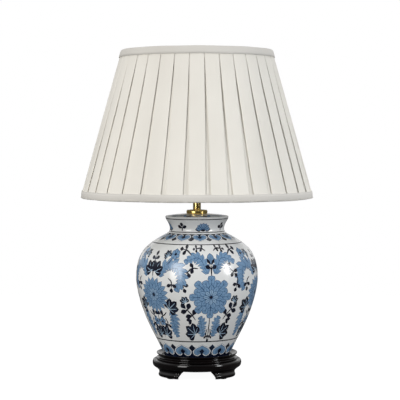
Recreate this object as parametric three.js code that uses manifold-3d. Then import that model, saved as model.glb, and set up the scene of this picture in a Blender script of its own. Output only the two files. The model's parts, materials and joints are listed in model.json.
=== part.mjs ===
// A porcelain jar table lamp: a glazed baluster jar on a turned black wood stand with four carved feet,
// a brass stem with a switched lampholder, and a box-pleated fabric shade hung on a harp.
// Millimetres, +Z up, -Y is the front. The origin is under the middle of the stand, on the felt pads' plane.
import * as THREE from "three";
import { mergeVertices } from "three/addons/utils/BufferGeometryUtils.js";
import Module from "manifold-3d";

const wasm = await Module();
wasm.setup();

// ---- driving dimensions ----
const GAP = 0.3; // air left between pieces that touch
const FULL_TURN = 2 * Math.PI;
const ROUND = { tiny: 10, pin: 12, bore: 14, small: 16, medium: 24, large: 32 }; // sides of turned pieces

// M10 hollow rod that clamps the lamp together, and the holes that it passes through.
const ROD = { r: 4.9, boreR: 3.3, holeR: 5.4, bottomZ: 18.6, topZ: 328 };
const CLAMP = { washerR: 15, washerThickness: 1.6, nutDrop: 7, nutHeight: 5, acrossFlats: 17 };

const STAND = {
  bottomZ: 15.5, lipZ: 41, lipR: 71.2, bellyR: 78.2, dishZ: 34,
  recessR: 40.5, recessZ: 28, rebateR: 50, rebateZ: 17.4,
};
const FOOT = {
  innerR: 51, bottomHalf: 16.6, topHalf: 24.3, // half widths in degrees about the lamp's axis
  levels: [1.5, 3, 6.5, 9, 11.5, 15.2], // heights of its sections, with an outer radius for each
  outerR: [74.2, 74.7, 70.4, 68.6, 70.4, 76.2],
};
const FOOT_NAMES = ["front_right", "rear_right", "rear_left", "front_left"];
const PAD = { r: 7, at: 63, topZ: 1.2 };
const COVER_PLATE = { r: 49.5, thickness: 1.4, holeR: 1.8 };
const COVER_SCREW = {
  count: 3, at: 45.3, headR: 3, slotR: 2.2, headHeight: 1.5, shankR: 1.35, pilotR: 1.7, tipZ: 24.8,
};
const INLET = { z: 22.6, r: 4.2, boreR: 2.8, flangeR: 6.4, flangeThickness: 1.6 };

const JAR = {
  bottomZ: 36, rimZ: 281, rimR: 55.3, wall: 5, holeR: 6.5, mouthR: 43, floorZ: 46, footRingZ: 40.5,
};
const CAP = { ledgeZ: 278.5, r: 52.7, crownZ: 284.6, collarSeatR: 18.6 };
const GASKET = { innerR: 47, outerR: 57 };

const COLLAR = { bottomZ: 284.9, topZ: 291.8, r: 18.4 };
const TUBE = { r: 6.95, bottomZ: 292.1, topZ: 317.5 };
const SADDLE = { bottomZ: 317.8, thickness: 1.6, width: 16, armX: 25, armTopZ: 329, tabWidth: 7, bend: 2 };
const HOLDER = {
  bottomZ: 319.7, barrelZ: 332.3, topZ: 374, r: 17, wall: 1.2, coreR: 15.2, coreTopZ: 351.5,
  beadZ: 354, beadR: 18.4, beadHeight: 5.2, shellR: 14.7, shellWall: 0.7,
};
const SWITCH = { z: 345, barR: 2.5, half: 26, travel: 6, knobR: 3.6 };
const BULB = { capBottomZ: 352.9, capTopZ: 378, housingTopZ: 404, topZ: 462, r: 30 };

const HARP = { wireR: 1.6, baseZ: 329.4, waistX: 57, topZ: 541.4 };
const SLEEVE = { innerR: 3.9, r: 4.9, bottomZ: 321.7, topZ: 338.7 };
const STUD = { flangeZ: 543.4, flangeTopZ: 545.7, flangeR: 7, r: 3.1, topZ: 556 };
const FINIAL = { bottomZ: 548.4, topZ: 568.5, r: 8 };

const SHADE = {
  bottomZ: 312, topZ: 571, coneBottomZ: 326, coneBottomR: 200.5, coneTopZ: 557, coneTopR: 135.6,
  fabric: 3, binding: 13.4, coverInset: 1.5, struts: 8, arms: 3,
};
const LINING = { topZ: 562, outerDepth: 2.4, innerDepth: 3.2 }; // depths inside the line of the struts
const FRAME_WIRE = {
  bottomR: 192.5, bottomZ: 316, topR: 125.3, topZ: 567.2, ringWireR: 1.75, strutWireR: 1.4, armWireR: 1.25,
};
const HUB_R = 11;

// ---- materials ----
function finish(color, roughness, metalness = 0) {
  return new THREE.MeshStandardMaterial({ color, roughness, metalness });
}
const MATERIAL = {
  lacquer: finish(0x0d0b0b, 0.18),
  porcelain: finish(0xd9dde0, 0.12),
  brass: finish(0xd9ab45, 0.22, 1),
  steel: finish(0xb9bcc0, 0.35, 1),
  fabric: finish(0xe9e5da, 0.85),
  lining: finish(0xf3f0e8, 0.8),
  white: finish(0xeeeeea, 0.4),
  opal: finish(0xf6f5f0, 0.3),
  ceramic: finish(0xe6e2d8, 0.5),
  rubber: finish(0x1d1d1d, 0.8),
  felt: finish(0x1c2a20, 0.95),
};

// ---- geometry helpers ----
const lamp = new THREE.Group();

// Only positions are kept, with shared vertices merged and collapsed triangles dropped, facing outwards.
function closed(geometry) {
  const bare = new THREE.BufferGeometry();
  const loose = geometry.index ? geometry.toNonIndexed() : geometry;
  bare.setAttribute("position", loose.getAttribute("position"));
  const merged = mergeVertices(bare, 1e-4);
  const position = merged.attributes.position;
  const corner = [new THREE.Vector3(), new THREE.Vector3(), new THREE.Vector3()];
  const kept = [];
  let volume = 0;
  for (let i = 0; i < merged.index.count; i += 3) {
    const face = [0, 1, 2].map((k) => merged.index.getX(i + k));
    if (new Set(face).size < 3) continue;
    face.forEach((vertex, k) => corner[k].fromBufferAttribute(position, vertex));
    volume += corner[0].dot(corner[1].clone().cross(corner[2]));
    kept.push(face);
  }
  merged.setIndex((volume < 0 ? kept.map(([a, b, c]) => [a, c, b]) : kept).flat());
  return merged;
}

// A solid of revolution about Z from a profile of [radius, height] pairs that starts and ends on the axis.
function turned(profile, sides) {
  const points = profile.map(([r, z]) => new THREE.Vector2(r, z));
  return closed(new THREE.LatheGeometry(points, sides).rotateX(Math.PI / 2));
}

// A solid of revolution about Z with a hole down its middle, from a profile that closes on itself.
function turnedRing(profile, sides) {
  return turned([...profile, profile[0]], sides);
}

// A ring with a rectangular section, such as a washer or a tube.
function collarRing(innerR, outerR, bottomZ, topZ, sides) {
  return turnedRing([[innerR, bottomZ], [outerR, bottomZ], [outerR, topZ], [innerR, topZ]], sides);
}

// A flat disc.
function disc(r, bottomZ, topZ, sides) {
  return turned([[0, bottomZ], [r, bottomZ], [r, topZ], [0, topZ]], sides);
}

// A regular polygon with its first corner on +X.
function polygon(radius, sides) {
  const shape = new THREE.Shape();
  shape.moveTo(radius, 0);
  for (let i = 1; i < sides; i++) {
    const a = (FULL_TURN * i) / sides;
    shape.lineTo(radius * Math.cos(a), radius * Math.sin(a));
  }
  return shape;
}

// A round wire or rod along a curve, closed at both ends.
function wire(curve, radius, sides, steps) {
  const along = { steps, extrudePath: curve, bevelEnabled: false };
  return closed(new THREE.ExtrudeGeometry(polygon(radius, sides), along));
}

function rod(from, to, radius, sides) {
  return wire(new THREE.LineCurve3(new THREE.Vector3(...from), new THREE.Vector3(...to)), radius, sides, 1);
}

// A closed wire ring about Z.
function wireRing(ringR, z, wireR, sides, steps) {
  return closed(new THREE.TorusGeometry(ringR, wireR, sides, steps).translate(0, 0, z));
}

// A body through closed loops of points that all have the same number of points.
function lofted(loops) {
  const n = loops[0].length;
  const faces = [];
  for (let k = 0; k + 1 < loops.length; k++)
    for (let i = 0; i < n; i++) {
      const j = (i + 1) % n;
      faces.push(loops[k][i], loops[k][j], loops[k + 1][j]);
      faces.push(loops[k][i], loops[k + 1][j], loops[k + 1][i]);
    }
  const flat = (loop) => loop.map((p) => new THREE.Vector2(p.x, p.y));
  for (const [loop, flip] of [[loops[0], true], [loops[loops.length - 1], false]])
    for (const [a, b, c] of THREE.ShapeUtils.triangulateShape(flat(loop), []))
      faces.push(loop[a], loop[flip ? c : b], loop[flip ? b : c]);
  return closed(new THREE.BufferGeometry().setFromPoints(faces));
}

function solid(geometry) {
  const vertProperties = geometry.attributes.position.array;
  const triVerts = new Uint32Array(geometry.index.array);
  return new wasm.Manifold(new wasm.Mesh({ numProp: 3, vertProperties, triVerts }));
}

function geometryOf(manifold) {
  const mesh = manifold.getMesh();
  const geometry = new THREE.BufferGeometry();
  geometry.setAttribute("position", new THREE.BufferAttribute(mesh.vertProperties, 3));
  geometry.setIndex(new THREE.BufferAttribute(mesh.triVerts, 1));
  return geometry;
}

function cut(geometry, ...tools) {
  return geometryOf(tools.reduce((body, tool) => body.subtract(solid(tool)), solid(geometry)));
}

function joined(first, ...others) {
  return geometryOf(others.reduce((body, other) => body.add(solid(other)), solid(first)));
}

function add(name, geometry, material, { position = [0, 0, 0], turn = 0 } = {}) {
  const mesh = new THREE.Mesh(geometry, material);
  mesh.name = name;
  mesh.position.set(...position);
  mesh.rotation.z = turn;
  lamp.add(mesh);
}

// ---- stand ----
// One horizontal section of a foot: an arc outside, a smaller arc inside.
function footLoop(level) {
  const share = level / (FOOT.levels.length - 1);
  const half = THREE.MathUtils.degToRad(THREE.MathUtils.lerp(FOOT.bottomHalf, FOOT.topHalf, share ** 1.4));
  const arcSteps = 5;
  const arc = (r, from, to) =>
    Array.from({ length: arcSteps + 1 }, (_, i) => {
      const a = THREE.MathUtils.lerp(from, to, i / arcSteps);
      return new THREE.Vector3(r * Math.cos(a), r * Math.sin(a), FOOT.levels[level]);
    });
  return [...arc(FOOT.outerR[level], -half, half), ...arc(FOOT.innerR, half, -half)];
}

function makeFeet() {
  const foot = lofted(FOOT.levels.map((_, level) => footLoop(level)));
  const pad = disc(PAD.r, 0, PAD.topZ, ROUND.small);
  FOOT_NAMES.forEach((name, i) => {
    const turn = (FULL_TURN * (i - 0.5)) / FOOT_NAMES.length;
    add(`stand_foot_${name}`, foot, MATERIAL.lacquer, { turn });
    const position = [PAD.at * Math.cos(turn), PAD.at * Math.sin(turn), 0];
    add(`felt_pad_${name}`, pad, MATERIAL.felt, { position });
  });
}

function screwPlace(i) {
  const a = FULL_TURN / 4 + (FULL_TURN * (i + 0.5)) / COVER_SCREW.count;
  return [COVER_SCREW.at * Math.cos(a), COVER_SCREW.at * Math.sin(a)];
}

// The tools that drill the cover screws' holes.
function screwHoles(radius, fromZ, toZ) {
  return Array.from({ length: COVER_SCREW.count }, (_, i) =>
    rod([...screwPlace(i), fromZ], [...screwPlace(i), toZ], radius, ROUND.tiny));
}

function makeStandDisc() {
  const underside = [
    [ROD.holeR, STAND.recessZ], [STAND.recessR, STAND.recessZ], [STAND.recessR, STAND.rebateZ],
    [STAND.rebateR, STAND.rebateZ], [STAND.rebateR, STAND.bottomZ],
  ];
  const torus = [
    [71, STAND.bottomZ], [75.5, 16.6], [77.6, 18.8], [STAND.bellyR, 21.8],
    [77.2, 25], [74.2, 27.4], [70.2, 28.2],
  ];
  const ring = [[69.8, 29.2], [71.1, 30.2], [71.1, 32], [67.4, 33.4], [66.6, 35]];
  const lip = [[68.4, 36.6], [70.6, 37.6], [STAND.lipR, 39.4], [70.8, STAND.lipZ], [66.2, 39], [62, 37.4]];
  const dish = [[60.8, STAND.dishZ], [ROD.holeR, STAND.dishZ]];
  const blank = turnedRing([...underside, ...torus, ...ring, ...lip, ...dish], ROUND.large);
  const cableFrom = [0, STAND.recessR - 4, INLET.z];
  const cableTo = [0, STAND.bellyR + 5, INLET.z];
  const cableHole = rod(cableFrom, cableTo, INLET.r + GAP, ROUND.bore);
  const pilotHoles = screwHoles(COVER_SCREW.pilotR, STAND.bottomZ - 3.5, COVER_SCREW.tipZ + 0.2);
  add("stand_disc", cut(blank, cableHole, ...pilotHoles), MATERIAL.lacquer);
}

function makeCoverPlate() {
  const topZ = STAND.rebateZ - GAP;
  const bottomZ = topZ - COVER_PLATE.thickness;
  const plate = disc(COVER_PLATE.r, bottomZ, topZ, ROUND.medium);
  const holes = screwHoles(COVER_PLATE.holeR, bottomZ - 5, topZ + 3);
  add("base_cover_plate", cut(plate, ...holes), MATERIAL.rubber);

  const { headR, slotR, headHeight, shankR, tipZ, count } = COVER_SCREW;
  const headTopZ = bottomZ - GAP;
  const screw = turned([
    [0, headTopZ - headHeight], [slotR, headTopZ - headHeight], [headR, headTopZ],
    [shankR, headTopZ], [shankR, tipZ - 0.8], [0, tipZ],
  ], ROUND.pin);
  for (let i = 0; i < count; i++)
    add(`cover_screw_${i + 1}`, screw, MATERIAL.steel, { position: [...screwPlace(i), 0] });
}

// The cord's inlet bush is turned about Z and laid along +Y in the stand's rear.
function makeInletBush() {
  const start = STAND.recessR - 1;
  const flangeFrom = STAND.bellyR + 1 - start;
  const flangeTo = flangeFrom + INLET.flangeThickness;
  const bush = turnedRing([
    [INLET.boreR, 0], [INLET.r, 0], [INLET.r, flangeFrom], [INLET.flangeR, flangeFrom],
    [INLET.flangeR, flangeTo], [INLET.boreR, flangeTo + 0.4],
  ], ROUND.bore).rotateX(-Math.PI / 2);
  add("cord_inlet_bush", bush, MATERIAL.rubber, { position: [0, start, INLET.z] });
}

// ---- clamping rod and its hardware ----
function hexNut(bottomZ, height, acrossFlats, holeR) {
  const shape = polygon(acrossFlats / 2 / Math.cos(Math.PI / 6), 6);
  shape.holes.push(new THREE.Path().absarc(0, 0, holeR, 0, FULL_TURN, true));
  const upright = { depth: height, bevelEnabled: false, curveSegments: ROUND.tiny };
  return closed(new THREE.ExtrudeGeometry(shape, upright).translate(0, 0, bottomZ));
}

function makeRod() {
  add("threaded_rod", collarRing(ROD.boreR, ROD.r, ROD.bottomZ, ROD.topZ, ROUND.bore), MATERIAL.steel);
  const washerTopZ = STAND.recessZ - GAP;
  const washerBottomZ = washerTopZ - CLAMP.washerThickness;
  const washer = collarRing(ROD.holeR, CLAMP.washerR, washerBottomZ, washerTopZ, ROUND.small);
  add("clamp_washer", washer, MATERIAL.steel);
  const nut = hexNut(washerTopZ - CLAMP.nutDrop, CLAMP.nutHeight, CLAMP.acrossFlats, ROD.r + GAP);
  add("clamp_nut", nut, MATERIAL.steel);
  const gasketBottomZ = STAND.dishZ + GAP;
  const gasket = collarRing(GASKET.innerR, GASKET.outerR, gasketBottomZ, JAR.bottomZ - GAP, ROUND.medium);
  add("jar_gasket", gasket, MATERIAL.rubber);
}

// ---- jar and cap ----
// Outer wall of the jar from its foot to its flared rim.
const JAR_OUTER = [
  [58, JAR.bottomZ], [58.6, 40], [61.5, 45.3], [70.3, 62.9], [81, 84], [90.5, 105], [98, 126],
  [103.7, 147], [106.7, 165], [106.9, 178], [105.6, 192], [101.6, 207], [95, 219.5], [86.4, 229],
  [74.5, 238], [61.5, 245.6], [52.2, 250.8], [48.4, 255], [47.6, 259.7], [48.9, 265], [51.2, 270],
  [54.4, 275.2], [JAR.rimR, 277.6],
];

function makeJar() {
  const neckStart = 19; // the inside of the neck is straight, so its points are left out
  const levels = JAR_OUTER.filter((_, i) => i % 3 === 2 && i < neckStart);
  const inner = levels.map(([r, z]) => [r - JAR.wall * 1.1, z]);
  const capSeatR = CAP.r + GAP;
  const rim = [
    [JAR.rimR, JAR.rimZ - 0.8], [JAR.rimR - 0.7, JAR.rimZ], [capSeatR, JAR.rimZ], [capSeatR, CAP.ledgeZ],
  ];
  const mouth = [[JAR.mouthR, CAP.ledgeZ], [JAR.mouthR - 1, 262]];
  const footRing = [[JAR.holeR, JAR.footRingZ], [48, JAR.footRingZ], [50, JAR.bottomZ]];
  const profile = [...footRing, ...JAR_OUTER, ...rim, ...mouth, ...inner.reverse(), [JAR.holeR, JAR.floorZ]];
  add("porcelain_jar", turnedRing(profile, ROUND.large), MATERIAL.porcelain);
}

function makeCap() {
  const bottomZ = CAP.ledgeZ + GAP;
  const edge = [[ROD.holeR, bottomZ], [CAP.r, bottomZ], [CAP.r, JAR.rimZ - 0.3]];
  const crown = [
    [51.5, JAR.rimZ + 0.3], [42, JAR.rimZ + 1.7], [30, JAR.rimZ + 2.9], [CAP.collarSeatR, CAP.crownZ],
  ];
  add("jar_cap", turnedRing([...edge, ...crown, [ROD.holeR, CAP.crownZ]], ROUND.large), MATERIAL.porcelain);
}

// ---- brass stem ----
function makeStem() {
  const { r, bottomZ, topZ } = COLLAR;
  const collar = turnedRing([
    [ROD.holeR, bottomZ], [r - 1.2, bottomZ], [r, bottomZ + 1.2], [r, topZ - 2],
    [r - 0.7, topZ - 0.6], [r - 2, topZ], [ROD.holeR, topZ],
  ], ROUND.medium);
  add("brass_collar", collar, MATERIAL.brass);
  const tube = collarRing(ROD.holeR, TUBE.r, TUBE.bottomZ, TUBE.topZ, ROUND.small);
  add("brass_tube", tube, MATERIAL.brass);
}

// A flat strip under the lampholder, with its ends bent up into the tabs that hold the harp.
function makeSaddle() {
  const { bottomZ, thickness, width, armX, armTopZ, tabWidth, bend } = SADDLE;
  const top = bottomZ + thickness;
  const outerX = armX + thickness / 2;
  const innerX = armX - thickness / 2;
  const right = [
    [outerX - bend, bottomZ], [outerX, bottomZ + bend], [outerX, top + bend],
    [innerX, top + bend], [innerX, top],
  ];
  const left = right.map(([x, z]) => [-x, z]).reverse();
  const outline = new THREE.Shape([...right, ...left].map(([x, z]) => new THREE.Vector2(x, z)));
  const across = { depth: width, bevelEnabled: false };
  const upright = new THREE.ExtrudeGeometry(outline, across).rotateX(Math.PI / 2);
  const strip = closed(upright.translate(0, width / 2, 0));
  const tabHeight = armTopZ - top;
  const tabMidZ = top + tabHeight / 2;
  const tab = (sign) =>
    closed(new THREE.BoxGeometry(thickness, tabWidth, tabHeight).translate(sign * armX, 0, tabMidZ));
  const hole = rod([0, 0, bottomZ - 5], [0, 0, top + 5], ROD.holeR, ROUND.small);
  add("harp_saddle", cut(joined(strip, tab(-1), tab(1)), hole), MATERIAL.brass);
}

// ---- lampholder with its push-through switch ----
function makeLampholder() {
  const { bottomZ, barrelZ, topZ, r, wall, coreR, coreTopZ } = HOLDER;
  const { beadZ, beadR, beadHeight, shellR, shellWall } = HOLDER;
  const cap = turnedRing([
    [ROD.holeR, bottomZ], [9, bottomZ], [13.5, bottomZ + 2.6], [r - 0.6, bottomZ + 8], [r, barrelZ - GAP],
    [r - 1.4, barrelZ - GAP], [r - 2.2, bottomZ + 8], [11.5, bottomZ + 3.6], [ROD.holeR, bottomZ + 1.6],
  ], ROUND.small);
  add("lampholder_cap", cap, MATERIAL.brass);

  const barHole = rod([0, -40, SWITCH.z], [0, 40, SWITCH.z], SWITCH.barR + GAP, ROUND.bore);
  const barrel = turnedRing([
    [r - wall, barrelZ], [r, barrelZ], [r, beadZ], [beadR, beadZ + 1.2], [beadR, beadZ + beadHeight - 1.2],
    [r, beadZ + beadHeight], [r, topZ - 1], [r - 0.6, topZ], [r - wall, topZ],
  ], ROUND.medium);
  add("lampholder_barrel", cut(barrel, barHole), MATERIAL.brass);
  const core = disc(coreR, barrelZ + 1, coreTopZ, ROUND.small);
  add("lampholder_core", cut(core, barHole), MATERIAL.ceramic);

  const seatZ = coreTopZ + GAP;
  const contact = turned([[0, seatZ], [4, seatZ], [3, seatZ + 0.7], [0, seatZ + 0.7]], ROUND.pin);
  add("centre_contact", contact, MATERIAL.brass);
  const shell = collarRing(shellR - shellWall, shellR, seatZ, topZ - 1, ROUND.small);
  add("screw_shell", shell, MATERIAL.brass);
}

// At rest the bar stands out at the front; a push sends it through to the back.
function makeSwitch() {
  const { z, barR, half, travel, knobR } = SWITCH;
  const front = -half - travel / 2;
  const back = half - travel / 2;
  const knob = (y) => closed(new THREE.SphereGeometry(knobR, ROUND.pin, 8).translate(0, y, z));
  const bar = rod([0, front, z], [0, back, z], barR, ROUND.pin);
  add("switch_bar", joined(bar, knob(front), knob(back)), MATERIAL.brass);
}

// ---- bulb ----
function makeBulb() {
  const { capBottomZ, capTopZ, housingTopZ, topZ, r } = BULB;
  const cap = turned([
    [0, capBottomZ], [4.5, capBottomZ], [6, capBottomZ + 2.2], [13.1, capBottomZ + 4.4],
    [13.1, capTopZ], [0, capTopZ],
  ], ROUND.small);
  add("bulb_screw_cap", cap, MATERIAL.steel);
  const housing = turned([
    [0, capTopZ + GAP], [13.4, capTopZ + GAP], [17, capTopZ + 8], [24.4, housingTopZ], [0, housingTopZ],
  ], ROUND.medium);
  add("bulb_housing", housing, MATERIAL.white);

  const lowest = -0.75; // where the globe's round starts, in radians from its equator
  const globe = Array.from({ length: 8 }, (_, i) => {
    const a = THREE.MathUtils.lerp(lowest, Math.PI / 2, i / 8);
    return [r * Math.cos(a), topZ - r + r * Math.sin(a)];
  });
  const seatZ = housingTopZ + GAP;
  add("bulb_globe", turned([[0, seatZ], [24, seatZ], ...globe, [0, topZ]], ROUND.medium), MATERIAL.opal);
}

// ---- harp, shade fixing and finial ----
function makeHarp() {
  const { wireR, baseZ, waistX, topZ } = HARP;
  const right = [
    [SADDLE.armX, baseZ], [SADDLE.armX, 342], [SADDLE.armX + 0.6, 352], [34, 374], [49, 402], [waistX, 434],
    [55, 472], [44, 508], [27, 532], [15, 539.6], [8, topZ],
  ];
  const left = right.map(([x, z]) => [-x, z]).reverse();
  const points = [...right, [0, topZ], ...left].map(([x, z]) => new THREE.Vector3(x, 0, z));
  const bow = new THREE.CatmullRomCurve3(points, false, "centripetal");
  add("harp", wire(bow, wireR, 6, 40), MATERIAL.brass);

  const sleeve = collarRing(SLEEVE.innerR, SLEEVE.r, SLEEVE.bottomZ, SLEEVE.topZ, ROUND.small);
  for (const [name, x] of [["left", -SADDLE.armX], ["right", SADDLE.armX]])
    add(`harp_sleeve_${name}`, sleeve, MATERIAL.brass, { position: [x, 0, 0] });
}

function makeStudAndFinial() {
  const stud = turned([
    [0, STUD.flangeZ], [STUD.flangeR, STUD.flangeZ], [STUD.flangeR, STUD.flangeTopZ],
    [STUD.r, STUD.flangeTopZ], [STUD.r, STUD.topZ - 1], [STUD.r - 1, STUD.topZ], [0, STUD.topZ],
  ], ROUND.small);
  add("harp_stud", stud, MATERIAL.brass);

  const { bottomZ, topZ, r } = FINIAL;
  const threadR = STUD.r + GAP + 0.05;
  const socket = [[0, STUD.topZ + 1.4], [threadR, STUD.topZ + 0.4], [threadR, bottomZ]];
  const base = [[r, bottomZ], [r, bottomZ + 1.6], [4.6, bottomZ + 3], [4.6, bottomZ + 6]];
  const knob = [
    [7.2, bottomZ + 9], [8.2, bottomZ + 12.6], [7, bottomZ + 16.4], [4.4, bottomZ + 19], [0, topZ],
  ];
  add("finial", turned([...socket, ...base, ...knob], ROUND.small), MATERIAL.brass);
}

// ---- shade ----
const SLOPE = (SHADE.coneBottomR - SHADE.coneTopR) / (SHADE.coneTopZ - SHADE.coneBottomZ);

// Radius of the pleated cover's outer face at a height.
function coneR(z) {
  return SHADE.coneBottomR - (z - SHADE.coneBottomZ) * SLOPE;
}

// A point on or inside the line of the frame's struts, which lean from the lower ring to the upper one.
function insideStruts(z, depth = 0) {
  const { bottomR, bottomZ, topR, topZ } = FRAME_WIRE;
  return [bottomR + ((topR - bottomR) * (z - bottomZ)) / (topZ - bottomZ) - depth, z];
}

function makeCover() {
  const { bottomZ, topZ, coneBottomZ, coneBottomR, coneTopZ, coneTopR, fabric, coverInset } = SHADE;
  const fromZ = bottomZ + coverInset;
  const toZ = topZ - coverInset;
  const hemR = coneBottomR - 0.6;
  const topR = coneR(toZ) - 0.1;
  const outside = [[hemR, fromZ], [coneBottomR, coneBottomZ], [coneTopR, coneTopZ], [topR, toZ]];
  const inside = outside.map(([r, z]) => [r - fabric, z]).reverse();
  add("pleated_cover", turnedRing([...outside, ...inside], ROUND.large), MATERIAL.fabric);

  const liningZ = fromZ + 1;
  const { outerDepth, innerDepth, topZ: liningTopZ } = LINING;
  const lining = [
    insideStruts(liningZ, innerDepth), insideStruts(liningZ, outerDepth),
    insideStruts(liningTopZ, outerDepth), insideStruts(liningTopZ, innerDepth),
  ];
  add("shade_lining", turnedRing(lining, ROUND.large), MATERIAL.lining);
}

function makeShadeFrame() {
  const { bottomR, bottomZ, topR, topZ, ringWireR, strutWireR } = FRAME_WIRE;
  add("bottom_ring", wireRing(bottomR, bottomZ, ringWireR, 6, ROUND.large), MATERIAL.white);
  add("top_ring", wireRing(topR, topZ, ringWireR, 6, ROUND.large), MATERIAL.white);

  const ringClearance = ringWireR + GAP + 0.5;
  const strutAt = (z) => [insideStruts(z)[0], 0, z];
  const strut = rod(strutAt(bottomZ + ringClearance), strutAt(topZ - ringClearance), strutWireR, 6);
  for (let i = 0; i < SHADE.struts; i++)
    add(`frame_strut_${i + 1}`, strut, MATERIAL.white, { turn: (FULL_TURN * (i + 0.5)) / SHADE.struts });
}

// The bindings wrap round the ends of the cover; the lower one comes up inside the lining as well.
function makeBindings() {
  const { bottomZ, topZ, binding, coneBottomR, coneTopR } = SHADE;
  const foldR = FRAME_WIRE.topR - FRAME_WIRE.ringWireR;
  const topOutside = [
    [coneTopR + 0.4, topZ - binding], [coneTopR + 1.5, topZ - binding], [coneR(topZ - 3) + 1.6, topZ - 3],
    [coneR(topZ) + 1.2, topZ - 0.8],
  ];
  const topFold = [
    [coneR(topZ) - 0.6, topZ], [foldR, topZ], [foldR, topZ - 0.9], [coneR(topZ) + 0.3, topZ - 1],
  ];
  add("top_binding", turnedRing([...topOutside, ...topFold], ROUND.large), MATERIAL.fabric);

  const bandZ = bottomZ + binding;
  const lowerInside = [
    [coneBottomR + 0.8, bandZ], [coneBottomR + 0.4, bottomZ + 1], insideStruts(bottomZ + 1, 3.6),
    insideStruts(bandZ, 3.6), insideStruts(bandZ, 4.5), insideStruts(bottomZ + 0.6, 4.5),
    insideStruts(bottomZ, 3.8),
  ];
  const lowerOutside = [
    [coneBottomR - 0.4, bottomZ], [coneBottomR + 1.6, bottomZ + 1.4], [coneBottomR + 2.4, bottomZ + 7],
    [coneBottomR + 1.8, bandZ],
  ];
  add("bottom_binding", turnedRing([...lowerInside, ...lowerOutside], ROUND.large), MATERIAL.fabric);
}

// The spider's arms rise from the hub on the harp to the upper ring.
function makeSpider() {
  const { topR, topZ, ringWireR, armWireR } = FRAME_WIRE;
  const hubZ = STUD.flangeTopZ + GAP;
  const hubTopZ = FINIAL.bottomZ - GAP;
  const hub = collarRing(STUD.r + GAP + 0.1, HUB_R, hubZ, hubTopZ, ROUND.small);
  add("spider_hub", hub, MATERIAL.brass);

  const midZ = (hubZ + hubTopZ) / 2;
  const path = [
    [HUB_R + GAP, midZ], [60, midZ + 1.5], [100, midZ + 6], [topR - ringWireR - 3 * GAP, topZ - 0.2],
  ];
  const curve = new THREE.CatmullRomCurve3(path.map(([r, z]) => new THREE.Vector3(r, 0, z)));
  const arm = wire(curve, armWireR, 8, 10);
  for (let i = 0; i < SHADE.arms; i++)
    add(`spider_arm_${i + 1}`, arm, MATERIAL.brass, { turn: FULL_TURN / 4 + (FULL_TURN * i) / SHADE.arms });
}

makeFeet();
makeStandDisc();
makeCoverPlate();
makeInletBush();
makeRod();
makeJar();
makeCap();
makeStem();
makeSaddle();
makeLampholder();
makeSwitch();
makeBulb();
makeHarp();
makeStudAndFinial();
makeCover();
makeShadeFrame();
makeBindings();
makeSpider();

export default lamp;
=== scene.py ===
import json
import math
import random

import bmesh
import bpy
import numpy as np
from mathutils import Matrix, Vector, geometry

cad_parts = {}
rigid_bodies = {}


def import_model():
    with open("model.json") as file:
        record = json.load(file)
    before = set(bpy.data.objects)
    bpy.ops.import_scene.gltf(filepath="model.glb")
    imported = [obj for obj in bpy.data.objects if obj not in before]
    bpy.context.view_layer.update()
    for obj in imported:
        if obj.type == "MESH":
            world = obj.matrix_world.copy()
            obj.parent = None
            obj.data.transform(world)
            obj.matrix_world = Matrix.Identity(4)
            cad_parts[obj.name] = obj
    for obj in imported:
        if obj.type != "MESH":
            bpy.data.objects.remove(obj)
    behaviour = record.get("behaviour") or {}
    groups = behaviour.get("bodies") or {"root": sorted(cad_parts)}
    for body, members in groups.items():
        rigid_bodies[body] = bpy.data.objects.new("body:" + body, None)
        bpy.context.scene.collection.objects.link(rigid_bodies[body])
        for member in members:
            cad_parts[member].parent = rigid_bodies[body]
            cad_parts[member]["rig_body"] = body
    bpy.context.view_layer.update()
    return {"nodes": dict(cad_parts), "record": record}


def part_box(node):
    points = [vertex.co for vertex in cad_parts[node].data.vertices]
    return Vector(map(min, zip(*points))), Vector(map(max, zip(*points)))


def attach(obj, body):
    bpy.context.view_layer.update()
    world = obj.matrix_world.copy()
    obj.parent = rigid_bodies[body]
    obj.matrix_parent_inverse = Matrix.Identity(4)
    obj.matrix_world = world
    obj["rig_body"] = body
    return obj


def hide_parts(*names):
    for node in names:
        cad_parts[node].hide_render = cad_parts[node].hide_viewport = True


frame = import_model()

MM = 0.001
TURN = 2 * math.pi
scene = bpy.context.scene
record = frame["record"]
SLOT_OF = {part["node"]: part["material_slot"] for part in record["subparts"]}


def low_high(node):
    """Lowest and highest corner of a CAD node in millimetres."""
    low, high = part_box(node)
    return low / MM, high / MM


def lerp(a, b, t):
    return a + (b - a) * t


# ---- materials ----
def new_material(name, **sockets):
    material = bpy.data.materials.new(name)
    material.use_nodes = True
    shader = material.node_tree.nodes["Principled BSDF"]
    for socket, value in sockets.items():
        shader.inputs[socket.replace("_", " ")].default_value = value
    return material


def add_node(material, kind, sockets, **settings):
    """A node with its sockets linked or set, and its settings."""
    node = material.node_tree.nodes.new("ShaderNode" + kind)
    for name, value in settings.items():
        setattr(node, name, value)
    for name, value in sockets.items():
        if isinstance(value, bpy.types.NodeSocket):
            material.node_tree.links.new(value, node.inputs[name])
        else:
            node.inputs[name].default_value = value
    return node


def surface(material, socket, value):
    shader = material.node_tree.nodes["Principled BSDF"]
    material.node_tree.links.new(value, shader.inputs[socket])


def place(material, stretch=(1, 1, 1), source="Object"):
    """Texture coordinates on the piece itself, stretched."""
    coordinates = add_node(material, "TexCoord", {}).outputs[source]
    return add_node(material, "Mapping", {"Vector": coordinates, "Scale": stretch}).outputs["Vector"]


def cloudy(material, scale, stretch=(1, 1, 1), detail=3.0, source="Object"):
    where = place(material, stretch, source)
    sockets = {"Vector": where, "Scale": scale, "Detail": detail}
    return add_node(material, "TexNoise", sockets).outputs["Fac"]


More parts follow.
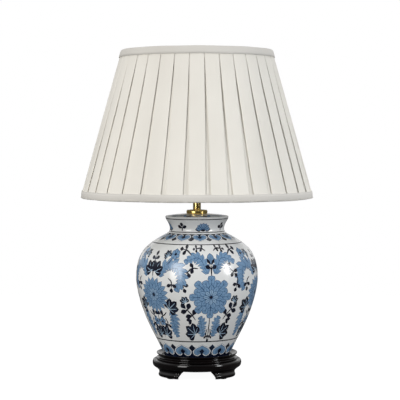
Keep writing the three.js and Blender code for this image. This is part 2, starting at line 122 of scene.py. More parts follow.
def tones(material, factor, *stops):
    """A colour ramp from (position, colour) stops."""
    ramp = add_node(material, "ValToRGB", {"Fac": factor})
    elements = ramp.color_ramp.elements
    while len(elements) < len(stops):
        elements.new(0.5)
    for element, (position, color) in zip(elements, stops):
        element.position = position
        element.color = (*color, 1)
    return ramp.outputs["Color"]


def between(material, factor, low, high):
    """A value that follows a texture between two limits."""
    sockets = {"Value": factor, "From Min": 0.3, "From Max": 0.7, "To Min": low, "To Max": high}
    return add_node(material, "MapRange", sockets).outputs["Result"]


def bump(material, height, distance, strength=1.0, over=None):
    sockets = {"Height": height, "Distance": distance, "Strength": strength}
    if over:
        sockets["Normal"] = over
    return add_node(material, "Bump", sockets).outputs["Normal"]


def make_lacquer():
    material = new_material("lacquer", IOR=1.38)
    grain = cloudy(material, 30, (1, 1, 12), 5)
    patches = cloudy(material, 22)
    color = tones(material, patches, (0.3, (0.002, 0.002, 0.002)), (0.75, (0.005, 0.003, 0.003)))
    surface(material, "Base Color", color)
    surface(material, "Roughness", between(material, patches, 0.1, 0.17))
    surface(material, "Normal", bump(material, grain, 0.00012, 0.25))
    return material


def make_metal(name, dark, light, low, high, scratches=0.00002, stretch=(1, 1, 60)):
    """Turned metal: fine rings round the axis, with slightly uneven polish."""
    material = new_material(name, Metallic=1.0)
    rings = cloudy(material, 40, stretch, 2)
    patches = cloudy(material, 35)
    surface(material, "Base Color", tones(material, patches, (0.3, dark), (0.7, light)))
    surface(material, "Roughness", between(material, rings, low, high))
    surface(material, "Normal", bump(material, rings, scratches, 0.4))
    return material


def make_smooth(name, dark, light, low, high, grain=0.00004, scale=120, **sockets):
    """Paint, glass, plastic or rubber with a faint texture and uneven gloss."""
    material = new_material(name, **sockets)
    patches = cloudy(material, scale / 4)
    fine = cloudy(material, scale * 4)
    surface(material, "Base Color", tones(material, patches, (0.35, dark), (0.65, light)))
    surface(material, "Roughness", between(material, patches, low, high))
    surface(material, "Normal", bump(material, fine, grain, 0.5))
    return material


def make_felt():
    material = new_material("felt", Sheen_Weight=0.6, Sheen_Roughness=0.5)
    fibres = cloudy(material, 900, (1, 1, 0.4), 6)
    color = tones(material, fibres, (0.3, (0.006, 0.012, 0.008)), (0.7, (0.022, 0.04, 0.026)))
    surface(material, "Base Color", color)
    surface(material, "Roughness", between(material, fibres, 0.85, 1.0))
    surface(material, "Normal", bump(material, fibres, 0.0004, 0.8))
    return material


def make_cloth(name, dark, light, threads=0.5, slub=0.00006, sheen=0.15):
    """Plain-woven cloth. Its UV map is in metres: U along the warp's rows, V up the cloth."""
    material = new_material(name, Sheen_Weight=sheen, Sheen_Roughness=0.4)
    weave = None
    for direction in ("X", "Y"):
        sockets = {
            "Vector": place(material, source="UV"), "Scale": 1 / (threads * MM * 20), "Distortion": 1.0,
        }
        wave = add_node(material, "TexWave", sockets, bands_direction=direction).outputs["Fac"]
        weave = bump(material, wave, 0.00004, 0.35, weave)
    slubs = cloudy(material, 60, (1, 22, 1), 3, "UV")
    patches = cloudy(material, 9, (1, 1, 1), 3, "UV")
    surface(material, "Base Color", tones(material, patches, (0.3, dark), (0.7, light)))
    surface(material, "Roughness", between(material, slubs, 0.75, 0.92))
    surface(material, "Normal", bump(material, slubs, slub, 0.5, weave))
    return material


def make_porcelain():
    """White glaze over brushwork in cobalt. The ink attribute says how much cobalt lies on each face."""
    material = new_material("porcelain", Coat_Weight=0.25, Coat_Roughness=0.12, IOR=1.5)
    ink = add_node(material, "Attribute", {}, attribute_name="ink").outputs["Fac"]
    pooling = cloudy(material, 90, (1, 1, 1), 4)
    shift = between(material, pooling, 0.94, 1.06)
    washed = add_node(material, "Math", {0: ink, 1: shift}, operation="MULTIPLY").outputs["Value"]
    color = tones(
        material, washed,
        (0.0, (0.83, 0.845, 0.845)), (0.3, (0.42, 0.58, 0.74)), (0.5, (0.18, 0.32, 0.51)),
        (0.75, (0.03, 0.07, 0.15)), (1.0, (0.004, 0.006, 0.018)),
    )
    surface(material, "Base Color", color)
    surface(material, "Roughness", between(material, cloudy(material, 25), 0.2, 0.26))
    surface(material, "Normal", bump(material, cloudy(material, 38), 0.0001, 0.35))
    return material


MATERIALS = {
    "lacquer": make_lacquer(),
    "porcelain": make_porcelain(),
    "brass": make_metal("brass", (0.88, 0.63, 0.20), (0.98, 0.76, 0.32), 0.2, 0.3),
    "steel": make_metal("steel", (0.42, 0.43, 0.44), (0.55, 0.56, 0.57), 0.25, 0.4),
    "shade_fabric": make_cloth("shade_fabric", (0.80, 0.775, 0.715), (0.85, 0.825, 0.765)),
    "shade_binding": make_cloth("shade_binding", (0.66, 0.64, 0.60), (0.70, 0.68, 0.64), 0.4),
    "shade_lining": make_cloth("shade_lining", (0.82, 0.80, 0.75), (0.86, 0.845, 0.80), 0.4, 0.00003),
    "frame_paint": make_smooth("frame_paint", (0.68, 0.68, 0.66), (0.76, 0.76, 0.74), 0.28, 0.42),
    "bulb_housing": make_smooth("bulb_housing", (0.76, 0.76, 0.74), (0.80, 0.80, 0.78), 0.3, 0.4),
    "bulb_globe": make_smooth(
        "bulb_globe", (0.82, 0.81, 0.77), (0.86, 0.85, 0.82), 0.18, 0.26, Subsurface_Weight=0.1,
    ),
    "insulator": make_smooth("insulator", (0.62, 0.58, 0.50), (0.72, 0.68, 0.60), 0.45, 0.6, 0.0001),
    "rubber": make_smooth("rubber", (0.008, 0.008, 0.008), (0.02, 0.02, 0.02), 0.6, 0.8, 0.0001, 200),
    "cover_plate": make_smooth(
        "cover_plate", (0.010, 0.010, 0.011), (0.022, 0.022, 0.022), 0.45, 0.65, 0.00025, 260,
    ),
    "felt": make_felt(),
}


# ---- shapes ----
def piece(name, verts, faces, nodes, sharp=35, uv=None, body=None, slot=None):
    """A fine mesh that stands for CAD nodes and rides with them, or is a trim piece beside them."""
    mesh = bpy.data.meshes.new(name)
    mesh.from_pydata([tuple(float(c) * MM for c in v) for v in verts], [], faces)
    if uv is not None:
        layer = mesh.uv_layers.new(name="cloth")
        corner = np.zeros(len(mesh.loops), np.int32)
        mesh.loops.foreach_get("vertex_index", corner)
        layer.data.foreach_set("uv", (np.asarray(uv, np.float32)[corner] * MM).ravel())
    mesh.polygons.foreach_set("use_smooth", [True] * len(mesh.polygons))
    mesh.set_sharp_from_angle(angle=math.radians(sharp))
    slot = slot or SLOT_OF[nodes[0]]
    mesh.materials.append(MATERIALS[slot])
    obj = bpy.data.objects.new(name, mesh)
    scene.collection.objects.link(obj)
    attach(obj, body or frame["nodes"][nodes[0]]["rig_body"])
    if nodes:
        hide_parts(*nodes)
    return obj


def softened(points, closed=False, steps=4):
    """An outline whose corners are rounded by their third value, in millimetres."""
    out = []
    last = len(points) - 1
    for i, point in enumerate(points):
        radius = point[2] if len(point) > 2 else 0
        if not radius or (not closed and i in (0, last)):
            out.append((point[0], point[1]))
            continue
        corner = Vector(point[:2])
        back = Vector(points[i - 1][:2]) - corner
        ahead = Vector(points[(i + 1) % len(points)][:2]) - corner
        half = back.angle(ahead) / 2
        reach = min(radius / math.tan(half), 0.49 * back.length, 0.49 * ahead.length)
        start = corner + back.normalized() * reach
        end = corner + ahead.normalized() * reach
        for k in range(steps + 1):
            t = k / steps
            at = start * (1 - t) ** 2 + corner * 2 * t * (1 - t) + end * t ** 2
            out.append((at.x, at.y))
    return out


def curved(points, steps=5):
    """A smooth curve through points of any dimension."""
    p = [np.array(q, float) for q in points]
    p = [2 * p[0] - p[1], *p, 2 * p[-1] - p[-2]]
    out = []
    for a, b, c, d in zip(p, p[1:], p[2:], p[3:]):
        for k in range(steps):
            t = k / steps
            square, cube = 2 * a - 5 * b + 4 * c - d, 3 * b - a - 3 * c + d
            out.append(0.5 * (2 * b + (c - a) * t + square * t ** 2 + cube * t ** 3))
    out.append(p[-2])
    return out


def revolve(profile, sides=96, closed=False, center=(0, 0), thread=None):
    """Vertices and faces of an outline turned about a vertical axis; thread adds to the radius."""
    verts, rings, faces = [], [], []
    for r, z in profile:
        if r < 1e-6:
            rings.append([len(verts)] * sides)
            verts.append((center[0], center[1], z))
            continue
        rings.append(list(range(len(verts), len(verts) + sides)))
        for k in range(sides):
            a = TURN * k / sides
            radius = r + (thread(z, a) if thread else 0)
            verts.append((center[0] + radius * math.cos(a), center[1] + radius * math.sin(a), z))
    pairs = list(zip(rings, rings[1:])) + ([(rings[-1], rings[0])] if closed else [])
    for below, above in pairs:
        for k in range(sides):
            j = (k + 1) % sides
            corners = [below[k], below[j], above[j], above[k]]
            face = [v for i, v in enumerate(corners) if v != corners[i - 1]]
            if len(face) > 2:
                faces.append(face)
    return verts, faces


def turned(name, nodes, profile, sides=96, closed=True, center=(0, 0), thread=None, sharp=35, **rest):
    verts, faces = revolve(softened(profile, closed), sides, closed, center, thread)
    return piece(name, verts, faces, nodes, sharp, **rest)


def tube(path, radius, sides=16, closed=False):
    """A round wire along points, with rounded ends where it isn't closed."""
    p = np.array(path, float)
    n = len(p)
    if closed:
        ahead = np.roll(p, -1, 0) - np.roll(p, 1, 0)
    else:
        ahead = np.gradient(p, axis=0)
    ahead /= np.linalg.norm(ahead, axis=1)[:, None]
    side = np.cross(ahead[0], (0, 0, 1) if abs(ahead[0][2]) < 0.9 else (0, 1, 0))
    verts, faces = [], []
    for i in range(n):
        side = side - ahead[i] * side.dot(ahead[i])
        side /= np.linalg.norm(side)
        up = np.cross(ahead[i], side)
        shrink = 0.6 if not closed and i in (0, n - 1) else 1
        for k in range(sides):
            a = TURN * k / sides
            verts.append(p[i] + (side * math.cos(a) + up * math.sin(a)) * radius * shrink)
    for i in range(n if closed else n - 1):
        for k in range(sides):
            j = (k + 1) % sides
            a, b = i * sides, ((i + 1) % n) * sides
            faces.append([a + k, a + j, b + j, b + k])
    if not closed:
        faces.append(list(range(sides))[::-1])
        faces.append(list(range((n - 1) * sides, n * sides)))
    return verts, faces


def rounded_ends(path, radius):
    """Points added just inside both ends of a wire, so that its ends look broken, not sawn."""
    p = [np.array(q, float) for q in path]
    head = p[0] + (p[1] - p[0]) / np.linalg.norm(p[1] - p[0]) * radius * 0.4
    tail = p[-1] + (p[-2] - p[-1]) / np.linalg.norm(p[-2] - p[-1]) * radius * 0.4
    return [p[0], head, *p[1:-1], tail, p[-1]]


def merged(*parts):
    """Several (vertices, faces) pairs as one."""
    verts, faces = [], []
    for v, f in parts:
        start = len(verts)
        verts += [tuple(x) for x in v]
        faces += [[i + start for i in face] for face in f]
    return verts, faces


def spun(part, angle, center=(0, 0)):
    """A (vertices, faces) pair turned about a vertical axis."""
    c, s = math.cos(angle), math.sin(angle)
    verts = [(center[0] + x * c - y * s, center[1] + x * s + y * c, z) for x, y, z in part[0]]
    return verts, part[1]


def apply_modifiers(obj):
    graph = bpy.context.evaluated_depsgraph_get()
    mesh = bpy.data.meshes.new_from_object(obj.evaluated_get(graph))
    obj.modifiers.clear()
    obj.data = mesh
    return obj


def thicken(obj, thickness):
    """Gives a single layer of cloth or sheet metal its thickness."""
    modifier = obj.modifiers.new("thickness", "SOLIDIFY")
    modifier.thickness = thickness * MM
    modifier.offset = 0
    modifier.use_even_offset = True
    return apply_modifiers(obj)


# ---- brushwork on porcelain ----
GLAZE, PALE, SOFT, WASH, DEEP, LINE, NAVY = 0, 0.3, 0.42, 0.5, 0.6, 0.72, 1
SEAM = 180


class PaintedWall:
    """A turned surface that carries flat brushwork. Its outline runs upwards, or inwards on a lid."""

    def __init__(self, outline):
        p = np.array(outline, float)
        self.r, self.z = p[:, 0], p[:, 1]
        steps = np.hypot(np.diff(self.r), np.diff(self.z))
        self.s = np.concatenate([[0], np.cumsum(steps)])
        self.shapes = []

    def s_at(self, z):
        return float(np.interp(z, self.z, self.s))

    def paint(self, shapes, axis, per_degree, base=None):
        """Shapes in millimetres round an axis. Heights are z, or lengths up the wall from base."""
        middle = (axis + 180) % 360 - 180
        for outline, ink in shapes:
            p = np.array(outline, float)
            up = np.interp(p[:, 1], self.z, self.s) if base is None else self.s_at(base) + p[:, 1]
            around = middle + p[:, 0] / per_degree
            for turn in (-360, 0, 360):
                if around.max() + turn > -SEAM - 4 and around.min() + turn < SEAM + 4:
                    self.shapes.append((np.column_stack([around + turn, up]), ink))

    def paint_ring(self, low, high, ink):
        """A plain band between two lengths up the wall."""
        around = np.linspace(-SEAM - 4, SEAM + 4, 185)
        lower, upper = (np.column_stack([around, np.full(len(around), edge)]) for edge in (low, high))
        self.shapes.append((np.concatenate([lower, upper[::-1]]), ink))

    def build(self, columns=144, row=4.5):
        """Vertices, faces and inks of the wall, cut along every brush line."""
        rows = max(2, round(self.s[-1] / row))
        heights = np.linspace(0, self.s[-1], rows + 1)
        angles = np.linspace(-SEAM, SEAM, columns + 1)
        points = [(a, h) for h in heights for a in angles]
        edges = []
        for k in range(rows):
            edges += [(k * (columns + 1) + i, (k + 1) * (columns + 1) + i) for i in (0, columns)]
        for outline, _ in self.shapes:
            first = len(points)
            points += [(float(x), float(y)) for x, y in outline]
            edges += [(first + i, first + (i + 1) % len(outline)) for i in range(len(outline))]
        cut = geometry.delaunay_2d_cdt([Vector(p) for p in points], edges, [], 0, 1e-4)
        flat = np.array([tuple(v) for v in cut[0]])
        faces = np.array(cut[2])
        middle = flat[faces].mean(1)
        kept = (np.abs(middle[:, 0]) < SEAM) & (middle[:, 1] > 0) & (middle[:, 1] < self.s[-1])
        faces, middle = faces[kept], middle[kept]
        ink = np.zeros(len(faces))
        for outline, value in self.shapes:
            ink[inside(outline, middle)] = value
        r, z = np.interp(flat[:, 1], self.s, self.r), np.interp(flat[:, 1], self.s, self.z)
        a = np.radians(flat[:, 0])
        verts = np.column_stack([r * np.sin(a), -r * np.cos(a), z])
        return verts, faces, ink

    def normals(self, places):
        """Outward unit normals of the wall at points on it."""
        around = places[:, :2] / np.linalg.norm(places[:, :2], axis=1)[:, None]
        slope_r = np.interp(places[:, 2], self.z, np.gradient(self.r, self.s))
        slope_z = np.interp(places[:, 2], self.z, np.gradient(self.z, self.s))
        normals = np.column_stack([around * slope_z[:, None], -slope_r])
        return normals / np.linalg.norm(normals, axis=1)[:, None]


def inside(outline, points):
    """Which points lie inside a closed outline."""
    low, high = outline.min(0), outline.max(0)
    near = np.where(((points > low) & (points < high)).all(1))[0]
    x, y = points[near, 0], points[near, 1]
    hits = np.zeros(len(near), bool)
    for (x0, y0), (x1, y1) in zip(outline, np.roll(outline, -1, 0)):
        crosses = (y0 > y) != (y1 > y)
        if y0 != y1:
            hits ^= crosses & (x < (x1 - x0) * (y - y0) / (y1 - y0) + x0)
    return near[hits]


def grown(outline, reach):
    """A closed outline moved outwards by reach, or inwards where it is negative."""
    p = np.array(outline, float)
    ahead = np.roll(p, -1, 0) - np.roll(p, 1, 0)
    ahead /= np.maximum(np.linalg.norm(ahead, axis=1), 1e-9)[:, None]
    q = np.roll(p, -1, 0)
    turning = np.sign((p[:, 0] * q[:, 1] - q[:, 0] * p[:, 1]).sum())
    return p + np.column_stack([ahead[:, 1], -ahead[:, 0]]) * reach * turning


def blot(points, steps=3):
    """A closed outline through points: smooth, apart from points with a third value, which are tips."""
    n = len(points)
    tips = [i for i in range(n) if len(points[i]) > 2]
    if not tips:
        ring = [points[i % n] for i in range(-1, n + 2)]
        return curved(ring, steps)[steps:-steps - 1]
    out = []
    for i, start in enumerate(tips):
        end = tips[(i + 1) % len(tips)]
        if end <= start:
            end += n
        run = [points[k % n][:2] for k in range(start, end + 1)]
        out += curved(run, steps if len(run) > 2 else 1)[:-1]
    return out


def edged(outline, fill=WASH, line=LINE, width=0.9):
    """A washed shape with a darker edge."""
    return [(grown(outline, width * 0.4), line), (grown(outline, -width * 0.6), fill)]


def petal(base, tip, width, belly=0.5, steps=6):
    """A pointed petal, widest at belly of its length."""
    base, tip = np.array(base, float), np.array(tip, float)
    along = tip - base
    across = np.array((-along[1], along[0])) / np.linalg.norm(along) * width / 2
    t = np.linspace(0, 1, steps + 1)
    swell = np.sin(np.pi * t ** (math.log(0.5) / math.log(belly))) ** 0.8
    left = [base + along * a + across * b for a, b in zip(t, swell)]
    right = [base + along * a - across * b for a, b in zip(t, swell)]
    return left + right[-2:0:-1]


def spine_of(path):
    """A function from 0 to 1 along a smoothed path to its point and unit normal."""
    p = np.array(curved(path, 6))
    s = np.concatenate([[0], np.cumsum(np.linalg.norm(np.diff(p, axis=0), axis=1))])
    ahead = np.gradient(p, axis=0)
    ahead /= np.linalg.norm(ahead, axis=1)[:, None]

    def at(t):
        where = t * s[-1]
        x, y = np.interp(where, s, p[:, 0]), np.interp(where, s, p[:, 1])
        across = np.array((-np.interp(where, s, ahead[:, 1]), np.interp(where, s, ahead[:, 0])))
        return np.array((x, y)), across / np.linalg.norm(across)

    return at


def stroke(path, width, steps=10, taper=0.5, start=0.12):
    """A brush stroke that swells in its middle; start is the share of its width at the beginning."""
    at = spine_of(path)
    left, right = [], []
    for t in np.linspace(0, 1, steps + 1):
        middle, across = at(t)
        least = start if t < 0.5 else 0.12
        half = width / 2 * max(least, math.sin(math.pi * (0.06 + 0.88 * t)) ** taper)
        left.append(middle + across * half)
        right.append(middle - across * half)
    return left + right[::-1]


def feather(path, width, teeth, sides=(1, 1), notch=0.5):
    """The outline of a leaf along a curved spine, with forward teeth on both sides."""
    at = spine_of(path)
    halves = []
    for side, share in zip((1, -1), sides):
        edge = []
        for k in range(teeth):
            for within, reach in ((0, 1 - notch), (0.45, 0.85), (0.9, 1.08)):
                t = (k + within) / teeth
                half = max(0.4, width / 2 * math.sin(math.pi * (0.1 + 0.84 * t)) ** 0.6 * reach * share)
                middle, across = at(t)
                edge.append(middle + across * half * side)
        halves.append(edge)
    return halves[0] + [at(1)[0]] + halves[1][::-1]


def veined_leaf(path, width, teeth, sides=(1, 1), notch=0.5, fill=WASH):
    """A feathered leaf with a midrib and a vein to each tooth."""
    at = spine_of(path)
    art = edged(feather(path, width, teeth, sides, notch), fill, width=0.8)
    art.append((stroke([at(0.03)[0], at(0.5)[0], at(0.93)[0]], 0.9), LINE))
    for k in range(teeth):
        start, _ = at((k + 0.1) / teeth)
        for side, share in zip((1, -1), sides):
            if share < 0.4:
                continue
            end, across = at(min(1, (k + 0.75) / teeth))
            reach = width / 2 * 0.68 * share * math.sin(math.pi * (0.1 + 0.84 * (k + 0.5) / teeth)) ** 0.65
            tip = end + across * side * reach
            art.append((stroke([start, (start + tip) / 2, tip], 0.7, 4), LINE))
    return art


def veined_petal(base, tip, width, belly=0.55, fill=WASH, veins=(-0.22, 0, 0.22)):
    base, tip = np.array(base, float), np.array(tip, float)
    art = edged(petal(base, tip, width, belly), fill, width=0.9)
    across = np.array((base[1] - tip[1], tip[0] - base[0])) / np.linalg.norm(tip - base) * width
    for side in veins:
        start = base + (tip - base) * 0.3
        end = base + (tip - base) * (0.86 if side == 0 else 0.7) + across * side
        art.append((stroke([start, (start + end) / 2 + across * side * 0.3, end], 0.7, 4), LINE))
    return art


def burst(center, tips, ink=NAVY):
    """Small leaves out of one place, each given as its tip and width."""
    return [(petal(center, (x, y), width, 0.58), ink) for x, y, width in tips]


def mirrored(art):
    return art + [([(-p[0], p[1]) for p in outline], ink) for outline, ink in art]


def both_sides(half):
    """A closed outline from its right half, which starts and ends on the axis."""
    return half + [(-p[0], *p[1:]) for p in half[-2:0:-1]]


HEART = [
    (0, -1, 1), (0.34, -0.7), (0.72, -0.4), (0.97, 0), (1, 0.38), (0.82, 0.78), (0.46, 0.92), (0.2, 0.72),
    (0, 0.36, 1),
]


def heart(middle, width, height, point):
    """Two curled lobes and a point, which is below for -1 and above for 1."""
    outline = blot(both_sides(HEART), 3)
    return [(middle[0] + x * width / 2, middle[1] - point * y * height / 2) for x, y in outline]


def ruyi(middle, width, height, point):
    """A ruyi head: a pale line round a wash, with a dark drop that enters between its lobes."""
    x, y = middle
    base = heart(middle, width, height, point)
    art = [(grown(base, 0.4), LINE), (base, GLAZE), (grown(base, -1.6), LINE), (grown(base, -2.3), WASH)]
    inner = (x, y - point * height * 0.06)
    art.append((heart(inner, width * 0.56, height * 0.52, point), DEEP))
    drop_top, drop_end = (x, y - point * height * 0.42), (x, y + point * height * 0.13)
    art.append((petal(drop_top, drop_end, width * 0.2, 0.6), NAVY))
    art.append((heart((x, y - point * height * 0.04), width * 0.26, height * 0.24, point), NAVY))
    return art


def fan(middle, reach, width, angles, fill=WASH, veins=(0,)):
    """Veined petals from one place, at angles in degrees from the right."""
    art = []
    for degrees in angles:
        a = math.radians(degrees)
        tip = (middle[0] + reach * math.cos(a), middle[1] + reach * math.sin(a))
        art += veined_petal(middle, tip, width, 0.66, fill, veins)
    return art


def disc(middle, radius, ink):
    corners = np.linspace(0, TURN, 11)[:-1]
    return [(middle[0] + radius * math.cos(a), middle[1] + radius * math.sin(a)) for a in corners], ink


def round_of(petals, first=90):
    """Evenly spaced angles in degrees."""
    return [first + 360 * k / petals for k in range(petals)]


def peony(middle):
    """Toothed petals all round, two rings of smaller ones inside, and a dark heart."""
    art = []
    start = np.array(middle, float)
    for first, length, width in ((90, 37, 20), (112.5, 31, 17)):
        for degrees in round_of(8, first):
            a = math.radians(degrees)
            reach = np.array((math.cos(a), math.sin(a))) * length
            spine = [start + reach * share for share in (0.2, 0.6, 1)]
            art += veined_leaf(spine, width, 3, notch=0.42)
    art += fan(middle, 22, 9, round_of(11), WASH)
    art += fan(middle, 14, 7, round_of(8), SOFT)
    return art + [disc(middle, 3.8, LINE), disc(middle, 2.6, NAVY)]


def chrysanthemum(middle):
    """Three rings of narrow petals round a dark heart."""
    art = fan(middle, 31, 8.4, round_of(18), WASH)
    art += fan(middle, 21, 7.2, round_of(13, 78), WASH)
    art += fan(middle, 12, 6, round_of(9), SOFT)
    return art + [disc(middle, 4, LINE), disc(middle, 2.8, NAVY)]


def twig(path, pairs, size):
    """A dark stem with small leaves in pairs along it and one at its end."""
    at = spine_of(path)
    width = size * 0.72
    art = [(stroke(path, 2.4), NAVY)]
    for k in range(pairs):
        foot, across = at((k + 0.7) / pairs)
        ahead = np.array((across[1], -across[0]))
        for side in (-1, 1):
            art.append((petal(foot, foot + (ahead * 0.5 + across * side) * size, width, 0.6), NAVY))
    end, across = at(1)
    ahead = np.array((across[1], -across[0]))
    return art + [(petal(end, end + ahead * size, width, 0.6), NAVY)]


def vine_leaf(foot, reach, lean):
    """A dark leaf of five lobes with pale veins; lean is the way it points, in degrees."""
    foot = np.array(foot, float)
    lobes, veins = [], []
    for turn, share in ((-75, 0.68), (75, 0.68), (-38, 0.9), (38, 0.9), (0, 1)):
        a = math.radians(lean + turn)
        tip = foot + np.array((math.cos(a), math.sin(a))) * reach * share
        lobes.append((petal(foot, tip, reach * 0.52, 0.6), NAVY))
        veins.append((stroke([foot, (foot + tip) / 2, foot + (tip - foot) * 0.78], 1.0, 4, 0.5, 0.9), PALE))
    return lobes + veins


def bud(foot, tip, width):
    """A closed flower in two dark sepals."""
    foot, tip = np.array(foot, float), np.array(tip, float)
    side = np.array((foot[1] - tip[1], tip[0] - foot[0])) * 0.36
    middle = foot + (tip - foot) * 0.5
    sepals = [(petal(foot, middle + side * way, width * 0.4, 0.6), NAVY) for way in (-1, 1)]
    return veined_petal(foot, tip, width, 0.6) + sepals


def panel_a():
    """A peony, with curled leaves and a bud above it and upright leaves and vine leaves below."""
    side = veined_leaf([(7, 188), (12, 206), (27, 217), (46, 207)], 21, 8, (0.8, 1.1), 0.5)
    side += twig([(22, 197), (33, 197), (42, 188)], 2, 9) + twig([(34, 219), (42, 226), (50, 228)], 1, 9)
    side += twig([(8, 226), (16, 230), (27, 229)], 2, 6) + twig([(48, 182), (49, 174), (46, 164)], 1, 9)
    side += veined_leaf([(10, 78), (15, 92), (14, 104), (19, 114)], 19, 7, (1, 1), 0.55)
    side += twig([(27, 108), (34, 118), (44, 128)], 2, 12) + vine_leaf((28, 82), 24, 38)
    side += vine_leaf((44, 139), 12, 60) + twig([(3, 92), (5, 82), (2, 74)], 1, 6)
    side += burst((34, 108), [(45, 108, 6), (40, 100, 6)])
    stem = [(stroke([(0, 114), (0, 98), (0, 74)], 2), NAVY)] + twig([(0, 184), (0, 192), (0, 202)], 1, 10)
    return mirrored(side) + stem + bud((0, 203), (0, 222), 12) + peony((0, 148))


def panel_b():
    """A chrysanthemum between two large curled leaves, with small flowers above and upright leaves below."""
    side = veined_leaf([(15, 182), (28, 200), (47, 198), (55, 178), (45, 158)], 25, 11, (1.1, 0.75), 0.5)
    side += twig([(32, 180), (38, 174), (38, 164)], 1, 9) + vine_leaf((4, 190), 21, 62)
    side += [(stroke([(27, 202), (33, 208), (38, 216)], 1.8), LINE)] + vine_leaf((27, 216), 12, 120)
    side += fan((41, 220), 9, 7, round_of(6), WASH, ()) + [disc((41, 220), 2.2, NAVY)]
    side += veined_leaf([(32, 122), (37, 108), (33, 94), (37, 76)], 21, 9, (1.1, 0.9), 0.55)
    side += vine_leaf((29, 126), 22, 40) + twig([(22, 120), (14, 114), (8, 116)], 1, 10)
    side += twig([(17, 110), (20, 102), (18, 94)], 1, 8)
    side += fan((8, 103), 8, 6, round_of(5), WASH, ()) + [disc((8, 103), 1.8, NAVY)]
    side += vine_leaf((8, 78), 21, 66)
    stem = twig([(0, 182), (0, 196), (0, 216)], 2, 9)
    stem.append((stroke([(0, 120), (0, 110), (0, 74)], 2), NAVY))
    return mirrored(side) + stem + chrysanthemum((0, 150))


def diamond_at(x, z, width, height):
    return [(x, z - height / 2), (x + width / 2, z), (x, z + height / 2), (x - width / 2, z)]


# Bands of ruyi heads: how many, the first one's angle, millimetres per degree and the height of their base.
SHOULDER = {"heads": 13, "first": 4.7, "per_degree": 1.1, "z": 251.6}
FOOT_BAND = {"heads": 12, "first": 7.6, "per_degree": 1.15, "z": 50.5}
HEAD_SHARE = 0.92
RULED_LINES = ((254.4, 1.4), (235.4, 2.2), (68.3, 2.2))


def repeat_band(wall, band, *motifs):
    for k in range(band["heads"]):
        for art in motifs:
            wall.paint(art, band["first"] + 360 / band["heads"] * k, band["per_degree"], band["z"])


def paint_bands(wall):
    """Ruyi heads round the shoulder and the foot, and the dark lines between the zones."""
    top = wall.s_at(SHOULDER["z"])
    wall.paint_ring(top - 9, top, NAVY)
    half = 180 / SHOULDER["heads"] * SHOULDER["per_degree"]
    drop = [(blot([(half, -8), (half + 5.4, -15), (half, -22), (half - 5.4, -15)], 3), NAVY)]
    repeat_band(wall, SHOULDER, drop, ruyi((0, -11.6), 2 * half * HEAD_SHARE, 23, -1))
    wall.paint_ring(0.6, wall.s_at(52), NAVY)
    half = 180 / FOOT_BAND["heads"] * FOOT_BAND["per_degree"]
    diamond = [(diamond_at(half, 6.4, 13, 15), LINE), (diamond_at(half, 6.4, 11.8, 13.8), NAVY)]
    repeat_band(wall, FOOT_BAND, diamond, ruyi((0, 1.6), 2 * half * HEAD_SHARE, 25, 1))
    for z, width in RULED_LINES:
        wall.paint_ring(wall.s_at(z) - width / 2, wall.s_at(z) + width / 2, NAVY)
    wall.paint_ring(wall.s[-1] - 1.6, wall.s[-1] - 0.1, NAVY)


NECK_Z, NECK_PER_DEGREE = 255.6, 0.87


def paint_neck(wall):
    """Four small lotus flowers round the neck, with dark sprigs between them."""
    lotus = fan((0, 3), 13, 6.4, (14, 166, 40, 140, 66, 114, 90))
    lotus += mirrored([(stroke([(5, 1), (10, 1.6), (14, 5)], 2.2, 8, 0.4), NAVY)])
    lotus.append((petal((-5, 2.4), (5, 2.4), 4), NAVY))
    sprig = twig([(0, 1), (0, 4), (0, 8)], 1, 9)
    for k in range(4):
        for art, first in ((lotus, 12.8), (sprig, 57.8)):
            wall.paint(art, first + 90 * k, NECK_PER_DEGREE, NECK_Z)


LID_LEAVES, LID_PER_DEGREE = 10, 0.7


def paint_lid(lid):
    """Washed leaves with dark tongues between them, and a dark line round the edge and the collar."""
    lid.paint_ring(lid.s[-1] - 2.6, lid.s[-1] - 1.2, NAVY)
    lid.paint_ring(0.1, 1.4, NAVY)
    leaf = edged(blot([(-11, 1.6), (-5, 4), (0, 15, 1), (5, 4), (11, 1.6), (7, 12), (0, 23, 1), (-7, 12)], 3))
    leaf += burst((0, 4), [(-3, 11, 3), (3, 11, 3)])
    tongue = burst((0, 1), [(-4, 11, 5.6), (4, 11, 5.6), (0, 17, 5)])
    for k in range(LID_LEAVES):
        for art, place_in_step in ((leaf, 0), (tongue, 0.5)):
            lid.paint(art, 360 / LID_LEAVES * (k + place_in_step), LID_PER_DEGREE, lid.z[0])


def painted_piece(name, nodes, wall, rest):
    """A painted wall welded to the plain outline that closes it, shaded by its true normals."""
    verts, faces, ink = wall.build()
    plain = revolve(softened(rest), 144)
    obj = piece(name, *merged((verts, faces.tolist()), plain), nodes)
    mesh = obj.data
    unpainted = len(plain[1])
    layer = mesh.attributes.new("ink", "FLOAT", "FACE")
    layer.data.foreach_set("value", np.concatenate([ink, np.zeros(unpainted)]).astype(np.float32))
    mark = mesh.attributes.new("wall", "INT", "FACE")
    on_wall = np.concatenate([np.ones(len(ink)), np.zeros(unpainted)])
    mark.data.foreach_set("value", on_wall.astype(np.int32))
    shape = bmesh.new()
    shape.from_mesh(mesh)
    bmesh.ops.remove_doubles(shape, verts=shape.verts, dist=0.02 * MM)
    shape.to_mesh(mesh)
    shape.free()
    mesh.set_sharp_from_angle(angle=math.radians(35))
    marks = np.zeros(len(mesh.polygons), np.int32)
    mesh.attributes["wall"].data.foreach_get("value", marks)
    normals = [tuple(n.vector) for n in mesh.corner_normals]
    places = np.array([v.co for v in mesh.vertices]) / MM
    true_normals = wall.normals(places)
    for polygon, painted in zip(mesh.polygons, marks):
        if painted:
            for corner in polygon.loop_indices:
                normals[corner] = tuple(true_normals[mesh.loops[corner].vertex_index])
    mesh.normals_split_custom_set(normals)
    return obj


